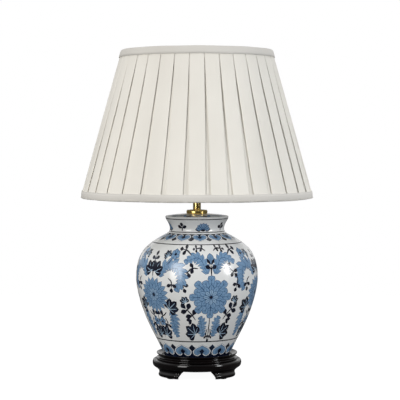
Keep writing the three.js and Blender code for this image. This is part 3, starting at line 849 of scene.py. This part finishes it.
# ---- stand ----
STAND_BOTTOM, LIP_Z = (corner.z for corner in low_high("stand_disc"))
# Height over the floor, radius of the front and half of its width in degrees, from the toe upwards.
FOOT_LEVELS = [
    (0, 63, 14.5), (0.3, 68.4, 16), (1.3, 72, 17.4), (3, 74.4, 18.6), (5, 75.3, 19.6), (7.2, 74.8, 20.6),
    (9.6, 73.2, 21.8), (11.6, 72.5, 23), (13.6, 73.2, 24.8), (15.6, 75.2, 26.6), (17.6, 77, 28.4),
    (19.6, 77.9, 30),
]
FOOT_FLOOR = 0.7
FOOT_EDGE, EDGE_FALL = 0.86, 2.2
CARVED_SIDE, CARVED_TOE, CARVED_DEPTH = 0.74, 0.2, 0.5
FOOT_INNER_R, FOOT_INNER_SHARE = 55, 0.42


def make_stand():
    z = STAND_BOTTOM
    torus = curved(
        [(70, z), (74.6, z + 0.6), (77.4, z + 3.2), (78.3, z + 6.9), (78.1, z + 10.2), (77.2, z + 12.4)], 4,
    )
    ear = curved(
        [
            (77.2, z + 12.4), (76.1, z + 13.1), (74.9, z + 12.5), (73.2, z + 10.6), (71.2, z + 9.9),
            (69.6, z + 11),
        ],
        3,
    )
    ring = [
        (69.3, z + 13, 0.5), (71.5, z + 14.1, 0.8), (71.8, z + 16.4, 0.9), (68.4, z + 17.6, 1),
        (66.8, z + 19.4, 1.2),
    ]
    lip = [(67.6, z + 21, 1.5), (71, z + 23.6, 1.6), (71.3, LIP_Z - 0.1, 0.4), (70, LIP_Z - 0.4, 0.6)]
    dish = [(66.2, LIP_Z - 2.7, 1), (61.9, LIP_Z - 4.2, 1), (60.8, LIP_Z - 7, 0.5), (5.6, LIP_Z - 7)]
    under = [(5.6, z + 12.5), (40.5, z + 12.5, 0.8), (40.5, z + 1.9, 0.4), (50, z + 1.9, 0.5), (50, z, 0.6)]
    profile = [*under, *[tuple(p) for p in torus], *[tuple(p) for p in ear[1:]], *ring, *lip, *dish]
    turned("stand_body", ["stand_disc"], profile, 144, sharp=50)
    for name, quarter in (("front_right", -1), ("rear_right", 1), ("rear_left", 3), ("front_left", 5)):
        make_foot(name, quarter * TURN / 8)


def make_foot(name, angle):
    """A bracket foot: its front bulges over a scrolled toe, and a fine line is cut along its outline."""
    across, inside = 40, 10
    levels = curved(FOOT_LEVELS, 4)
    loops = []
    for k, (height, outer, half) in enumerate(levels):
        loop = []
        v = k / (len(levels) - 1)
        for i in range(across + 1):
            u = 2 * i / across - 1
            a = math.radians(half) * u
            edge = max(0, (abs(u) - FOOT_EDGE) / (1 - FOOT_EDGE))
            line_side = math.exp(-(((abs(u) - CARVED_SIDE) / 0.035) ** 2)) * (0.18 < v < 0.62)
            line_toe = math.exp(-(((v - CARVED_TOE) / 0.018) ** 2)) * (abs(u) < CARVED_SIDE)
            r = outer - EDGE_FALL * edge ** 2 - CARVED_DEPTH * max(line_side, line_toe)
            loop.append((r * math.sin(a), -r * math.cos(a), FOOT_FLOOR + height * 0.985))
        for i in range(inside + 1):
            a = math.radians(half) * (1 - 2 * i / inside) * FOOT_INNER_SHARE
            r = FOOT_INNER_R + (4 if k == 0 else 0)
            loop.append((r * math.sin(a), -r * math.cos(a), FOOT_FLOOR + height * 0.985))
        loops.append(loop)
    n = len(loops[0])
    verts = [p for loop in loops for p in loop]
    faces = []
    for k in range(len(loops) - 1):
        for i in range(n):
            j = (i + 1) % n
            faces.append([k * n + i, k * n + j, (k + 1) * n + j, (k + 1) * n + i])
    faces.append(list(range(n))[::-1])
    faces.append(list(range((len(loops) - 1) * n, len(loops) * n)))
    verts, faces = spun((verts, faces), angle + TURN / 4)
    piece(f"foot_{name}", verts, faces, [f"stand_foot_{name}"], 55)


def make_under_stand():
    low, high = low_high("base_cover_plate")
    r = high.x
    turned(
        "cover_plate", ["base_cover_plate"],
        [(0, low.z), (r - 0.4, low.z, 0.4), (r, high.z - 0.3, 0.3), (0, high.z)], 96, False,
    )
    for k in (1, 2, 3):
        node = f"cover_screw_{k}"
        low, high = low_high(node)
        make_screw(node, (low + high) / 2, low.z, (high.x - low.x) / 2)
    for name in ("front_left", "front_right", "rear_left", "rear_right"):
        node = f"felt_pad_{name}"
        low, high = low_high(node)
        center = ((low.x + high.x) / 2, (low.y + high.y) / 2)
        r = (high.x - low.x) / 2
        top = high.z + 0.4
        profile = [(0, low.z), (r - 0.5, low.z, 0.5), (r, low.z + 0.6, 0.4), (r - 0.1, top, 0.2), (0, top)]
        nap = lambda z, a: 0.12 * math.sin(9 * a + 4 * z)
        turned(f"pad_{name}", [node], profile, 48, False, center, nap)
    low, high = low_high("cord_inlet_bush")
    length = high.y - low.y
    flange = (high.x - low.x) / 2
    profile = [
        (2.8, 0), (4.2, 0, 0.3), (4.2, length - 2.1), (flange, length - 2.1, 0.4),
        (flange, length - 0.6, 0.6),
    ]
    profile += [(3.6, length, 0.5), (2.8, length - 0.6, 0.4)]
    verts, faces = revolve(softened(profile, True), 40, True)
    middle = (low.z + high.z) / 2
    verts = [(x, low.y + z, middle - y) for x, y, z in verts]
    piece("inlet_bush", verts, faces, ["cord_inlet_bush"], 40)


SHANK_R = 1.35


def make_screw(name, middle, low_z, head_r):
    """A countersunk screw with a cross recess in its head, seen from below."""
    sides, rings = 48, []
    for share in (0, 0.25, 0.5, 0.75, 0.92, 1.0):
        ring = []
        for k in range(sides):
            a = TURN * k / sides
            x, y = head_r * share * math.cos(a), head_r * share * math.sin(a)
            arm = min(abs(x), abs(y)) < 0.42 and share < 0.7
            ring.append((middle.x + x, middle.y + y, low_z + (0.9 if arm else 0) + 0.25 * (share > 0.95)))
        rings.append(ring)
    angles = [TURN * k / sides for k in range(sides)]
    shank = [(middle.x + SHANK_R * math.cos(a), middle.y + SHANK_R * math.sin(a)) for a in angles]
    rings += [[(x, y, z) for x, y in shank] for z in (low_z + 1.6, low_z + 1.6 + 5)]
    verts = [p for ring in rings for p in ring]
    faces = []
    for k in range(len(rings) - 1):
        for i in range(sides):
            j = (i + 1) % sides
            faces.append([k * sides + i, (k + 1) * sides + i, (k + 1) * sides + j, k * sides + j])
    faces.append([(len(rings) - 1) * sides + i for i in range(sides)])
    piece(name.replace("cover_", "plate_"), verts, faces, [name], 30)


# ---- jar ----
JAR_LOW, JAR_HIGH = low_high("porcelain_jar")
# Radius and height of the jar's outside, from the foot to the rim.
JAR_OUTLINE = [
    (58, 36), (58.6, 40), (61.5, 45.3), (70.3, 62.9), (81, 84), (90.5, 105), (98, 126), (103.7, 147),
    (106.7, 165), (106.9, 178), (105.6, 192), (101.6, 207), (95, 219.5), (86.4, 229), (74.5, 238),
    (61.5, 245.6),
    (52.2, 250.8), (48.4, 255), (47.6, 259.7), (48.9, 265), (51.2, 270), (54.4, 275.2), (55.3, 277.6),
]


PANEL_PER_DEGREE = 1.8


def make_jar():
    """The jar, with three panels of each kind by turns between its bands."""
    wall = PaintedWall(curved(JAR_OUTLINE, 6))
    paint_bands(wall)
    paint_neck(wall)
    for k in range(3):
        for panel, first in ((panel_b(), 74.8), (panel_a(), 13.4)):
            wall.paint(panel, first + 120 * k, PANEL_PER_DEGREE)
    top = JAR_HIGH.z
    rim = [
        (55.3, 277.6), (55.5, top - 1.4, 0.6), (54.9, top, 0.7), (53.1, top - 0.1, 0.3), (53, 278.5, 0.2),
        (43, 278.5, 0.6),
    ]
    inside_wall = [
        (42, 262, 6), (46, 252, 4), (97, 207, 18), (101, 178, 20), (85, 105, 20), (64.5, 62, 12),
        (30, 44, 6), (6.5, 46),
    ]
    foot = [(6.5, 40.5), (48, 40.5, 0.6), (50, JAR_LOW.z, 0.6), JAR_OUTLINE[0]]
    painted_piece("jar_body", ["porcelain_jar"], wall, [*rim, *inside_wall, *foot])


def make_lid():
    low, high = low_high("jar_cap")
    outline = [(52.4, 281), (47, 282), (38, 283.1), (28, 283.95), (18.8, high.z - 0.05)]
    lid = PaintedWall(curved(outline, 6))
    paint_lid(lid)
    rest = [
        outline[-1], (18.2, high.z, 0.3), (5.4, high.z), (5.4, low.z), (high.x, low.z, 0.4),
        (high.x, 280.4, 0.5), outline[0],
    ]
    painted_piece("jar_lid", ["jar_cap"], lid, rest)


# ---- brass stem, harp and finial ----
def make_stem():
    low, high = low_high("brass_collar")
    r = high.x
    base = low.z - 0.25
    profile = [
        (5.4, base), (r - 1.3, base, 0.4), (r, base + 1.1, 0.7), (r + 0.1, high.z - 2.4, 0.8),
        (r - 0.9, high.z - 0.7, 0.6),
    ]
    profile += [(r - 3.2, high.z - 0.5, 0.6), (9.6, high.z - 1.5, 1.2), (8.4, high.z, 0.5), (5.4, high.z)]
    turned("stem_collar", ["brass_collar"], profile, 96)
    low, high = low_high("brass_tube")
    r = high.x
    profile = [(5.4, low.z - 0.3), (r, low.z - 0.3, 0.2), (r, high.z, 0.4), (5.4, high.z)]
    turned("stem_tube", ["brass_tube"], profile, 96)


def make_saddle():
    """The bent strip that carries the harp: a flat bridge with both ends turned up, narrowing to the tabs."""
    low, high = low_high("harp_saddle")
    thick = 1.6
    reach = high.x - thick / 2
    path = curved(
        [(0, low.z + 0.8), (12, low.z + 0.8), (reach - 3, low.z + 0.8), (reach - 0.7, low.z + 1.6)], 4,
    )
    path = [tuple(p) for p in path] + [
        (reach, low.z + 4), (reach, low.z + 6), (reach, high.z - 2), (reach, high.z),
    ]
    half = []
    for x, z in path:
        width = 8 if z < low.z + 4.5 else 3.5
        half.append((x, z, width - (1.2 if z >= high.z - 0.1 else 0)))
    rows = [(-x, z, w) for x, z, w in half[::-1]] + half[1:]
    verts, faces = [], []
    for x, z, w in rows:
        hole = 5.4 if abs(x) < 0.1 else 0
        verts += [(x, y, z) for y in (-w, -w * 0.5 - hole / 4, w * 0.5 + hole / 4, w)]
    for i in range(len(rows) - 1):
        for k in range(3):
            a = 4 * i + k
            faces.append([a, a + 4, a + 5, a + 1])
    obj = piece("saddle", verts, faces, ["harp_saddle"], 40)
    thicken(obj, thick)


HARP_LEG = [
    (25, 329.4), (25, 342), (25.6, 352), (34, 374), (49, 402), (57, 434), (55, 472), (44, 508), (27, 532),
    (15, 539.6), (8, 541.4),
]


def make_harp():
    low, high = low_high("harp")
    right = [(x, 0, z) for x, z in HARP_LEG]
    left = [(-x, 0, z) for x, z in HARP_LEG[::-1]]
    path = curved([*right, (0, 0, HARP_LEG[-1][1]), *left], 6)
    wire_r = high.y
    verts, faces = tube(rounded_ends(path, wire_r), wire_r, 16)
    piece("harp_wire", verts, faces, ["harp"], 50)
    for side in ("left", "right"):
        node = f"harp_sleeve_{side}"
        low, high = low_high(node)
        r = (high.x - low.x) / 2
        profile = [
            (3.9, low.z), (r, low.z, 0.5), (r, low.z + 3), (r - 0.35, low.z + 3.6, 0.2),
            (r - 0.35, high.z - 3.6, 0.2),
        ]
        profile += [(r, high.z - 3), (r, high.z, 0.5), (3.9, high.z)]
        turned(f"sleeve_{side}", [node], profile, 48, center=((low.x + high.x) / 2, 0))
    low, high = low_high("harp_stud")
    z = low.z
    profile = [
        (0, z), (7, z, 0.4), (7, z + 2.3, 0.4), (3.1, z + 2.3, 0.2), (3.1, high.z - 1, 0.3),
        (2.2, high.z, 0.3), (0, high.z),
    ]
    thread = lambda h, a: 0.16 * math.sin(TURN * h + a) * (z + 4 < h < high.z - 1.5)
    turned("stud", ["harp_stud"], profile, 48, False, thread=thread)


def make_finial():
    low, high = low_high("finial")
    z = low.z
    base = [
        (0, 557.4), (3.45, 556.4), (3.45, z), (7.6, z, 0.3), (8, z + 0.8, 0.6), (7.2, z + 1.9, 0.6),
        (4.4, z + 3.2, 0.8),
    ]
    knob = [(4.3, 5.4), (5.8, 7.6), (7.9, 10.6), (8.2, 13), (7.1, 16.2), (4.2, 18.9), (1.6, 19.9)]
    knob = [tuple(p) for p in curved([(r, z + h) for r, h in knob], 4)]
    turned("finial_knob", ["finial"], [*base, *knob, (0, high.z)], 64, False)


# ---- lampholder and bulb ----
def make_lampholder():
    low, high = low_high("lampholder_cap")
    z = low.z
    r = high.x
    outside = [
        (5.4, z), (9, z, 1), (13.6, z + 2.7, 2), (r - 0.5, z + 8, 2), (r, z + 11.4, 0.4),
        (r, z + 12.3, 0.3),
    ]
    inside = [(r - 1.4, z + 12.3), (r - 2.2, z + 8, 1), (11.5, z + 3.6, 1), (5.4, z + 1.6)]
    turned("holder_cap", ["lampholder_cap"], outside + inside, 96)
    low, high = low_high("lampholder_barrel")
    z = low.z
    r = 17
    bead = [(r, 353.6, 0.3), (high.x, 355, 0.7), (high.x, 358.2, 0.7), (r, 359.6, 0.3)]
    profile = [
        (r - 1.2, z), (r, z, 0.4), (r, z + 1.4), (r - 0.4, z + 2, 0.3), (r - 0.4, z + 3, 0.3), (r, z + 3.6),
        *bead,
    ]
    profile += [(r, high.z - 0.8, 0.4), (r - 0.6, high.z, 0.4), (r - 1.2, high.z)]
    turned("holder_barrel", ["lampholder_barrel"], profile, 96)
    low, high = low_high("screw_shell")
    rows = [(high.x, low.z + (high.z - low.z) * i / 60) for i in range(61)]
    inner = [(x - 0.7, h) for x, h in rows[::-1]]
    thread = lambda h, a: 0.35 * math.sin(TURN * h / 3.6 - a) - 0.35
    turned("shell", ["screw_shell"], [*rows, *inner], 64, thread=thread, sharp=60)


def make_switch():
    """The push bar and, on the barrel, the eyelet that it slides through on each side."""
    low, high = low_high("switch_bar")
    z = (low.z + high.z) / 2
    knob = high.x
    bar = 2.5
    half = [(bar, low.y + 5.6, 0.4), (bar, high.y - 5.6, 0.4)]
    front = [(0, low.y), (2.3, low.y + 0.2, 1.2), (knob, low.y + 2, 1.2), (knob, low.y + 4, 1)]
    back = [(knob, high.y - 4, 1), (knob, high.y - 2, 1.2), (2.3, high.y - 0.2, 1.2), (0, high.y)]
    verts, faces = revolve(softened([*front, *half, *back]), 40)
    piece("push_bar", [(x, h, z - y) for x, y, h in verts], faces, ["switch_bar"], 40)
    for side, sign in (("front", -1), ("rear", 1)):
        ring = [(2.75, 14.8), (4.6, 14.8), (4.6, 17.3, 0.4), (3.6, 17.9, 0.4), (2.75, 17.9, 0.2)]
        verts, faces = revolve(softened(ring, True), 40, True)
        piece(
            f"bar_eyelet_{side}", [(x, sign * h, z - sign * y) for x, y, h in verts], faces, [], 40,
            body="root", slot="brass",
        )


def make_bulb():
    low, high = low_high("bulb_screw_cap")
    z = low.z
    rows = [(13.1, z + 5 + (high.z - z - 6) * i / 60) for i in range(61)]
    tip = [
        (0, z), (3.6, z, 0.6), (4.5, z + 0.8, 0.5), (6, z + 2.2, 0.4), (9.5, z + 3.4, 0.5),
        (12.4, z + 4.3, 0.5),
    ]
    thread = lambda h, a: (0.35 * math.sin(TURN * h / 3.6 - a) - 0.35) * (z + 5 <= h <= high.z - 1)
    turned(
        "bulb_cap", ["bulb_screw_cap"], [*tip, *rows, (13.2, high.z), (0, high.z)], 64, False,
        thread=thread, sharp=60,
    )
    low, high = low_high("bulb_housing")
    z = low.z
    profile = [
        (0, z), (13.4, z, 0.6), (14.2, z + 3, 2), (17, z + 8, 4), (23.8, high.z - 2, 2),
        (24.4, high.z, 0.5), (0, high.z),
    ]
    turned("bulb_body", ["bulb_housing"], profile, 96, False)
    low, high = low_high("bulb_globe")
    r = high.x
    middle = high.z - r
    globe = [(r * math.cos(a), middle + r * math.sin(a)) for a in np.linspace(-0.66, TURN / 4 - 0.02, 28)]
    turned("bulb_glass", ["bulb_globe"], [(0, low.z), (23.6, low.z), *globe, (0, high.z)], 96, False)


# ---- shade ----
SHADE_BOTTOM, SHADE_TOP = low_high("bottom_binding")[0].z, low_high("top_binding")[1].z
CONE = {"low_z": 326, "low_r": 200.5, "high_z": 557, "high_r": 135.6}
BAND = 13.4
PLEATS, STRUTS = 34, 8
PANEL_BOTTOM, PANEL_TOP = 28.0, 24.3
UNDER_BOTTOM, UNDER_TOP = 8.6, 11.6
LAYER = 1.3
CLOTH = 0.35
# How far a pleat may stray: shift and extra width in millimetres, phase of its wave, crown of its panel.
QUIRK_RANGES = ((-0.35, 0.35), (-0.3, 0.3), (0, TURN), (0.45, 0.8))
dice = random.Random(34)


def cone_r(z):
    return lerp(CONE["low_r"], CONE["high_r"], (z - CONE["low_z"]) / (CONE["high_z"] - CONE["low_z"]))


def ring_line(z, low_ring, high_ring):
    """Radius of the frame's side wires at a height."""
    (r0, z0), (r1, z1) = low_ring, high_ring
    return lerp(r0, r1, (z - z0) / (z1 - z0))


def wire_ring(node):
    """Middle radius, height and wire radius of a frame ring."""
    low, high = low_high(node)
    wire_r = (high.z - low.z) / 2
    return high.x - wire_r, (low.z + high.z) / 2, wire_r


def pleat_section(width, pitch, under, crown):
    """Half of one box pleat from its panel's middle to the gap: distance along the ring, and depth."""
    bend = LAYER / 2
    panel = [(width / 2 * s, -crown * (1 - s ** 2)) for s in (0, 0.25, 0.5, 0.75, 0.92)]
    edge = width / 2 - bend
    over = np.linspace(0.2, math.pi, 6)
    fold = [(edge + bend * math.sin(a), bend - bend * math.cos(a)) for a in over]
    back = width / 2 - under + bend
    middle = [(lerp(edge, back, t), LAYER) for t in (0.33, 0.67)]
    inward = np.linspace(0, math.pi, 5)
    turn_in = [(back - bend * math.sin(a), LAYER + bend - bend * math.cos(a)) for a in inward]
    under_panel = [(lerp(back, pitch / 2, t), 2 * LAYER) for t in (0.4, 0.8)]
    return panel + fold + middle + turn_in + under_panel


def make_cover():
    rows = 30
    bottom, top = SHADE_BOTTOM + 1.6, SHADE_TOP - 1.6
    quirks = []
    for _ in range(PLEATS):
        quirks.append([dice.uniform(low, high) for low, high in QUIRK_RANGES])
    verts, uv, faces = [], [], []
    for row in range(rows + 1):
        z = lerp(bottom, top, row / rows)
        share = min(1, max(0, (z - CONE["low_z"]) / (CONE["high_z"] - CONE["low_z"])))
        radius = cone_r(z) - 0.7
        pitch = TURN * radius / PLEATS
        width = min(lerp(PANEL_BOTTOM, PANEL_TOP, share), pitch - 0.8)
        under = lerp(UNDER_BOTTOM, UNDER_TOP, share)
        along = 0
        for k in range(PLEATS):
            shift, extra, phase, crown = quirks[k]
            wave = 0.25 * math.sin(phase + 5 * share)
            fade = math.sin(math.pi * share) ** 0.5
            half = pleat_section(width + extra * fade, pitch, under, crown * (0.35 + 0.65 * fade))
            outline = [(-x, d) for x, d in half[::-1]] + half[1:]
            before = None
            for x, depth in outline:
                if before:
                    along += math.dist((x, depth), before)
                before = (x, depth)
                a = (k * pitch + x + (shift + wave) * fade) / radius
                r = radius - depth
                verts.append((r * math.sin(a), -r * math.cos(a), z))
                uv.append((along, z))
    count = len(verts) // (rows + 1)
    for row in range(rows):
        for i in range(count):
            j = (i + 1) % count
            faces.append([row * count + i, row * count + j, (row + 1) * count + j, (row + 1) * count + i])
    obj = piece("pleated_fabric", verts, faces, ["pleated_cover"], 80, uv)
    thicken(obj, CLOTH)


def cloth_band(name, node, section, thickness=0.5, ripple=0.25):
    """A binding folded over a rim: a strip of cloth round the shade, whose ends overlap at the rear."""
    steps = 240
    overlap = 0.09
    verts, uv, faces = [], [], []
    lengths = [0]
    for p, q in zip(section, section[1:]):
        lengths.append(lengths[-1] + math.dist(p, q))
    widest = max(r for r, _ in section)
    for k in range(steps + 1):
        a = TURN / 2 + (TURN + overlap) * k / steps
        lift = 0.6 * max(0, (a - TURN * 1.5) / overlap + 0.4) if a > TURN * 1.5 - 0.4 * overlap else 0
        for i, (r, z) in enumerate(section):
            loose = ripple * (math.sin(7 * a + i) * 0.5 + math.sin(23 * a) * 0.3)
            out = r + (loose + lift if i < 4 else 0)
            verts.append((out * math.sin(a), -out * math.cos(a), z + 0.15 * math.sin(11 * a + 1)))
            uv.append((widest * a, lengths[i]))
    n = len(section)
    for k in range(steps):
        for i in range(n - 1):
            faces.append([k * n + i, (k + 1) * n + i, (k + 1) * n + i + 1, k * n + i + 1])
    obj = piece(name, verts, faces, [node], 60, uv)
    thicken(obj, thickness)


def make_bindings():
    top = SHADE_TOP
    ring_r = wire_ring("top_ring")[0]
    section = [
        (cone_r(top - BAND) + 0.9, top - BAND), (cone_r(top - 9) + 1.2, top - 9),
        (cone_r(top - 4) + 1.2, top - 4),
    ]
    section += [
        (cone_r(top - 1.4) + 0.9, top - 1.5), (cone_r(top) - 0.3, top - 0.45),
        (cone_r(top) - 2.6, top - 0.3),
    ]
    section += [(ring_r - 1.6, top - 0.9), (ring_r - 2.9, top - 2.6), (ring_r - 2.9, top - 5)]
    cloth_band("band_top", "top_binding", section)
    low = SHADE_BOTTOM
    low_ring, high_ring = wire_ring("bottom_ring")[:2], wire_ring("top_ring")[:2]
    inner = lambda z: ring_line(z, low_ring, high_ring) - 4.1
    section = [
        (cone_r(low + BAND) + 0.9, low + BAND), (cone_r(low + 9) + 0.6, low + 9),
        (cone_r(low + 4) - 0.6, low + 4),
    ]
    section += [
        (cone_r(low) - 2.4, low + 0.9), (cone_r(low) - 5, low + 0.4), (inner(low + 1) + 2.5, low + 0.5),
    ]
    section += [(inner(low + 2), low + 1.8), (inner(low + 6), low + 6), (inner(low + BAND), low + BAND)]
    cloth_band("band_bottom", "bottom_binding", section)


def make_lining():
    """The smooth inner cloth, in gores that meet in a seam at each side wire."""
    low, high = low_high("shade_lining")
    low_ring, high_ring = wire_ring("bottom_ring")[:2], wire_ring("top_ring")[:2]
    steps, rows = 192, 20
    verts, uv, faces = [], [], []
    for row in range(rows + 1):
        z = lerp(low.z, high.z, row / rows)
        base = ring_line(z, low_ring, high_ring) - 2.8
        for k in range(steps):
            a = TURN * k / steps
            at_wire = abs(((a / TURN * STRUTS - 0.5) % 1) - 0.5) * 2
            r = base - 0.5 * (1 - at_wire ** 6) * math.sin(math.pi * row / rows)
            verts.append((r * math.cos(a), r * math.sin(a), z))
            uv.append((r * a, z))
    for row in range(rows):
        for k in range(steps):
            j = (k + 1) % steps
            faces.append([row * steps + k, row * steps + j, (row + 1) * steps + j, (row + 1) * steps + k])
    obj = piece("lining_cloth", verts, faces, ["shade_lining"], 60, uv)
    thicken(obj, 0.35)


def weld_at(end, radius, half_height, neck):
    """The bead of metal round the end of a wire."""
    verts, faces = revolve(
        [(0, -half_height), (neck, -1.6), (radius, 0), (neck, 1.6), (0, half_height)], 16,
    )
    return [(x + end[0], y, z + end[2]) for x, y, z in verts], faces


def make_shade_frame():
    for node in ("bottom_ring", "top_ring"):
        r, z, wire_r = wire_ring(node)
        path = [(r * math.cos(TURN * k / 144), r * math.sin(TURN * k / 144), z) for k in range(144)]
        verts, faces = tube(path, wire_r, 16, closed=True)
        piece(f"{node}_wire", verts, faces, [node], 60)
    low_ring, high_ring = wire_ring("bottom_ring")[:2], wire_ring("top_ring")[:2]
    for k in range(STRUTS):
        angle = TURN * (k + 0.5) / STRUTS
        z0, z1 = low_ring[1] + 1.2, high_ring[1] - 1.2
        path = [(ring_line(lerp(z0, z1, t), low_ring, high_ring), 0, lerp(z0, z1, t)) for t in (0, 0.5, 1)]
        welds = [weld_at(end, 2.1, 2.2, 1.5) for end in (path[0], path[-1])]
        verts, faces = spun(merged(tube(path, 1.4, 12), *welds), angle)
        piece(f"side_wire_{k + 1}", verts, faces, [f"frame_strut_{k + 1}"], 60)


def make_spider():
    low, high = low_high("spider_hub")
    r = high.x
    profile = [(3.5, low.z), (r, low.z, 0.4), (r, high.z, 0.4), (3.5, high.z, 0.2)]
    turned("hub", ["spider_hub"], profile, 64)
    mid = (low.z + high.z) / 2
    top_r, top_z, wire_r = wire_ring("top_ring")
    path = curved(
        [(r - 2, 0, mid), (60, 0, mid + 1.5), (100, 0, mid + 6), (top_r - wire_r - 0.4, 0, top_z - 0.2)],
        10,
    )
    for k in range(3):
        weld = weld_at(path[-1], 2.3, 2.4, 1.7)
        verts, faces = spun(merged(tube(path, 1.25, 12), weld), TURN / 4 + TURN * k / 3)
        piece(f"arm_{k + 1}", verts, faces, [f"spider_arm_{k + 1}"], 60)


# ---- what stays as the CAD made it ----
def finish_kept_nodes():
    """The pieces hidden inside the lamp keep their CAD shape and get their real finish."""
    for name in (
        "threaded_rod", "clamp_nut", "clamp_washer", "jar_gasket", "lampholder_core", "centre_contact",
    ):
        obj = frame["nodes"][name]
        obj.data.materials.clear()
        obj.data.materials.append(MATERIALS[SLOT_OF[name]])


# ---- studio ----
CAMERA_AT = (0, -2.46, 0.414)
CAMERA_TILT, CAMERA_PAN, CAMERA_LENS = 2.455, 0.125, 126
LIGHTS = {
    "key": {
        "azimuth": -38, "elevation": 12, "distance": 2.1, "size": (0.85, 1.25),
        "watts": 30, "color": (1, 0.985, 0.96),
    },
    "side": {
        "azimuth": 60, "elevation": 11, "distance": 1.8, "size": (0.36, 0.55),
        "watts": 17, "color": (0.97, 0.985, 1),
    },
}
SKY_LOW, SKY_HIGH, SKY_FRONT, SKY_BEHIND = 0.1, 0.9, 0.2, 0.8
FLOOR_Z, FLOOR_R = -0.4, 2000
FLOOR_ALBEDO, FLOOR_SHOWN_ALBEDO, FLOOR_GLOW = 0.1, 0.15, 0.96
FLOOR_FADE = (0.5, 1.4)


def make_camera():
    data = bpy.data.cameras.new("camera")
    data.sensor_width = 36
    data.lens = CAMERA_LENS
    obj = bpy.data.objects.new("camera", data)
    obj.location = CAMERA_AT
    obj.rotation_euler = (math.radians(90 - CAMERA_TILT), 0, math.radians(-CAMERA_PAN))
    scene.collection.objects.link(obj)
    scene.camera = obj


def make_lights():
    aim = Vector((0, 0, 0.3))
    for name, spec in LIGHTS.items():
        data = bpy.data.lights.new(name, "AREA")
        data.shape = "RECTANGLE"
        data.size, data.size_y = spec["size"]
        data.energy = spec["watts"]
        data.color = spec["color"]
        azimuth, elevation = math.radians(spec["azimuth"]), math.radians(spec["elevation"])
        flat = spec["distance"] * math.cos(elevation)
        height = aim.z + spec["distance"] * math.sin(elevation)
        obj = bpy.data.objects.new(name, data)
        obj.location = (flat * math.sin(azimuth), -flat * math.cos(azimuth), height)
        obj.rotation_euler = (aim - obj.location).to_track_quat("-Z", "Y").to_euler()
        scene.collection.objects.link(obj)


def ramped(owner, value, start, stop, low=0.0, high=1.0):
    """A value that goes from low to high while its input goes from start to stop."""
    sockets = {"Value": value, "From Min": start, "From Max": stop, "To Min": low, "To Max": high}
    return add_node(owner, "MapRange", sockets).outputs["Result"]


def combined(owner, operation, a, b):
    return add_node(owner, "Math", {0: a, 1: b}, operation=operation).outputs["Value"]


def make_world():
    """A studio that the camera sees as white, while a dimmer sky and a pale wall behind light the lamp."""
    world = bpy.data.worlds.new("studio")
    world.use_nodes = True
    scene.world = world
    direction = add_node(world, "TexCoord", {}).outputs["Generated"]
    toward = add_node(world, "SeparateXYZ", {"Vector": direction}).outputs
    sky = ramped(world, toward["Z"], 0.15, 0.6, SKY_LOW, SKY_HIGH)
    front = ramped(world, toward["Y"], -0.7, 0.1, SKY_FRONT)
    behind = ramped(world, toward["Y"], 0.3, 0.9, 0, SKY_BEHIND)
    above = ramped(world, toward["Z"], 0, 0.06)
    wall = combined(world, "MULTIPLY", behind, above)
    around = combined(world, "MAXIMUM", wall, combined(world, "MULTIPLY", front, sky))
    seen = add_node(world, "LightPath", {}).outputs["Is Camera Ray"]
    strength = add_node(world, "Mix", {"A": around, "B": 1.0, "Factor": seen}).outputs["Result"]
    background = world.node_tree.nodes["Background"]
    background.inputs["Color"].default_value = (1, 1, 1, 1)
    world.node_tree.links.new(strength, background.inputs["Strength"])
    scene.view_settings.view_transform = "Standard"


def make_floor():
    """A round pale floor that fades into the white behind it."""
    verts, faces = revolve([(0, FLOOR_Z), (300, FLOOR_Z), (FLOOR_R, FLOOR_Z)], 64)
    mesh = bpy.data.meshes.new("floor")
    mesh.from_pydata([tuple(c * MM for c in v) for v in verts], [], faces)
    floor = bpy.data.objects.new("floor", mesh)
    scene.collection.objects.link(floor)
    material = bpy.data.materials.new("floor")
    material.use_nodes = True
    mesh.materials.append(material)
    material.node_tree.nodes.clear()
    matte = add_node(material, "BsdfDiffuse", {"Color": (*[FLOOR_ALBEDO] * 3, 1)}).outputs["BSDF"]
    pale = add_node(material, "BsdfDiffuse", {"Color": (*[FLOOR_SHOWN_ALBEDO] * 3, 1)}).outputs["BSDF"]
    glow = add_node(
        material, "Emission", {"Color": (1, 1, 1, 1), "Strength": FLOOR_GLOW},
    ).outputs["Emission"]
    shown = add_node(material, "AddShader", {0: pale, 1: glow}).outputs["Shader"]
    seen = add_node(material, "LightPath", {}).outputs["Is Camera Ray"]
    mixed = add_node(material, "MixShader", {"Fac": seen, 1: matte, 2: shown}).outputs["Shader"]
    distance = add_node(material, "VectorMath", {0: place(material)}, operation="LENGTH").outputs["Value"]
    clear = add_node(material, "BsdfTransparent", {}).outputs["BSDF"]
    ends = add_node(
        material, "MixShader", {"Fac": ramped(material, distance, *FLOOR_FADE), 1: mixed, 2: clear},
    )
    add_node(material, "OutputMaterial", {"Surface": ends.outputs["Shader"]})


make_camera()
make_lights()
make_world()
make_floor()
make_stand()
make_under_stand()
make_jar()
make_lid()
make_stem()
make_saddle()
make_harp()
make_finial()
make_lampholder()
make_switch()
make_bulb()
make_cover()
make_bindings()
make_lining()
make_shade_frame()
make_spider()
finish_kept_nodes()
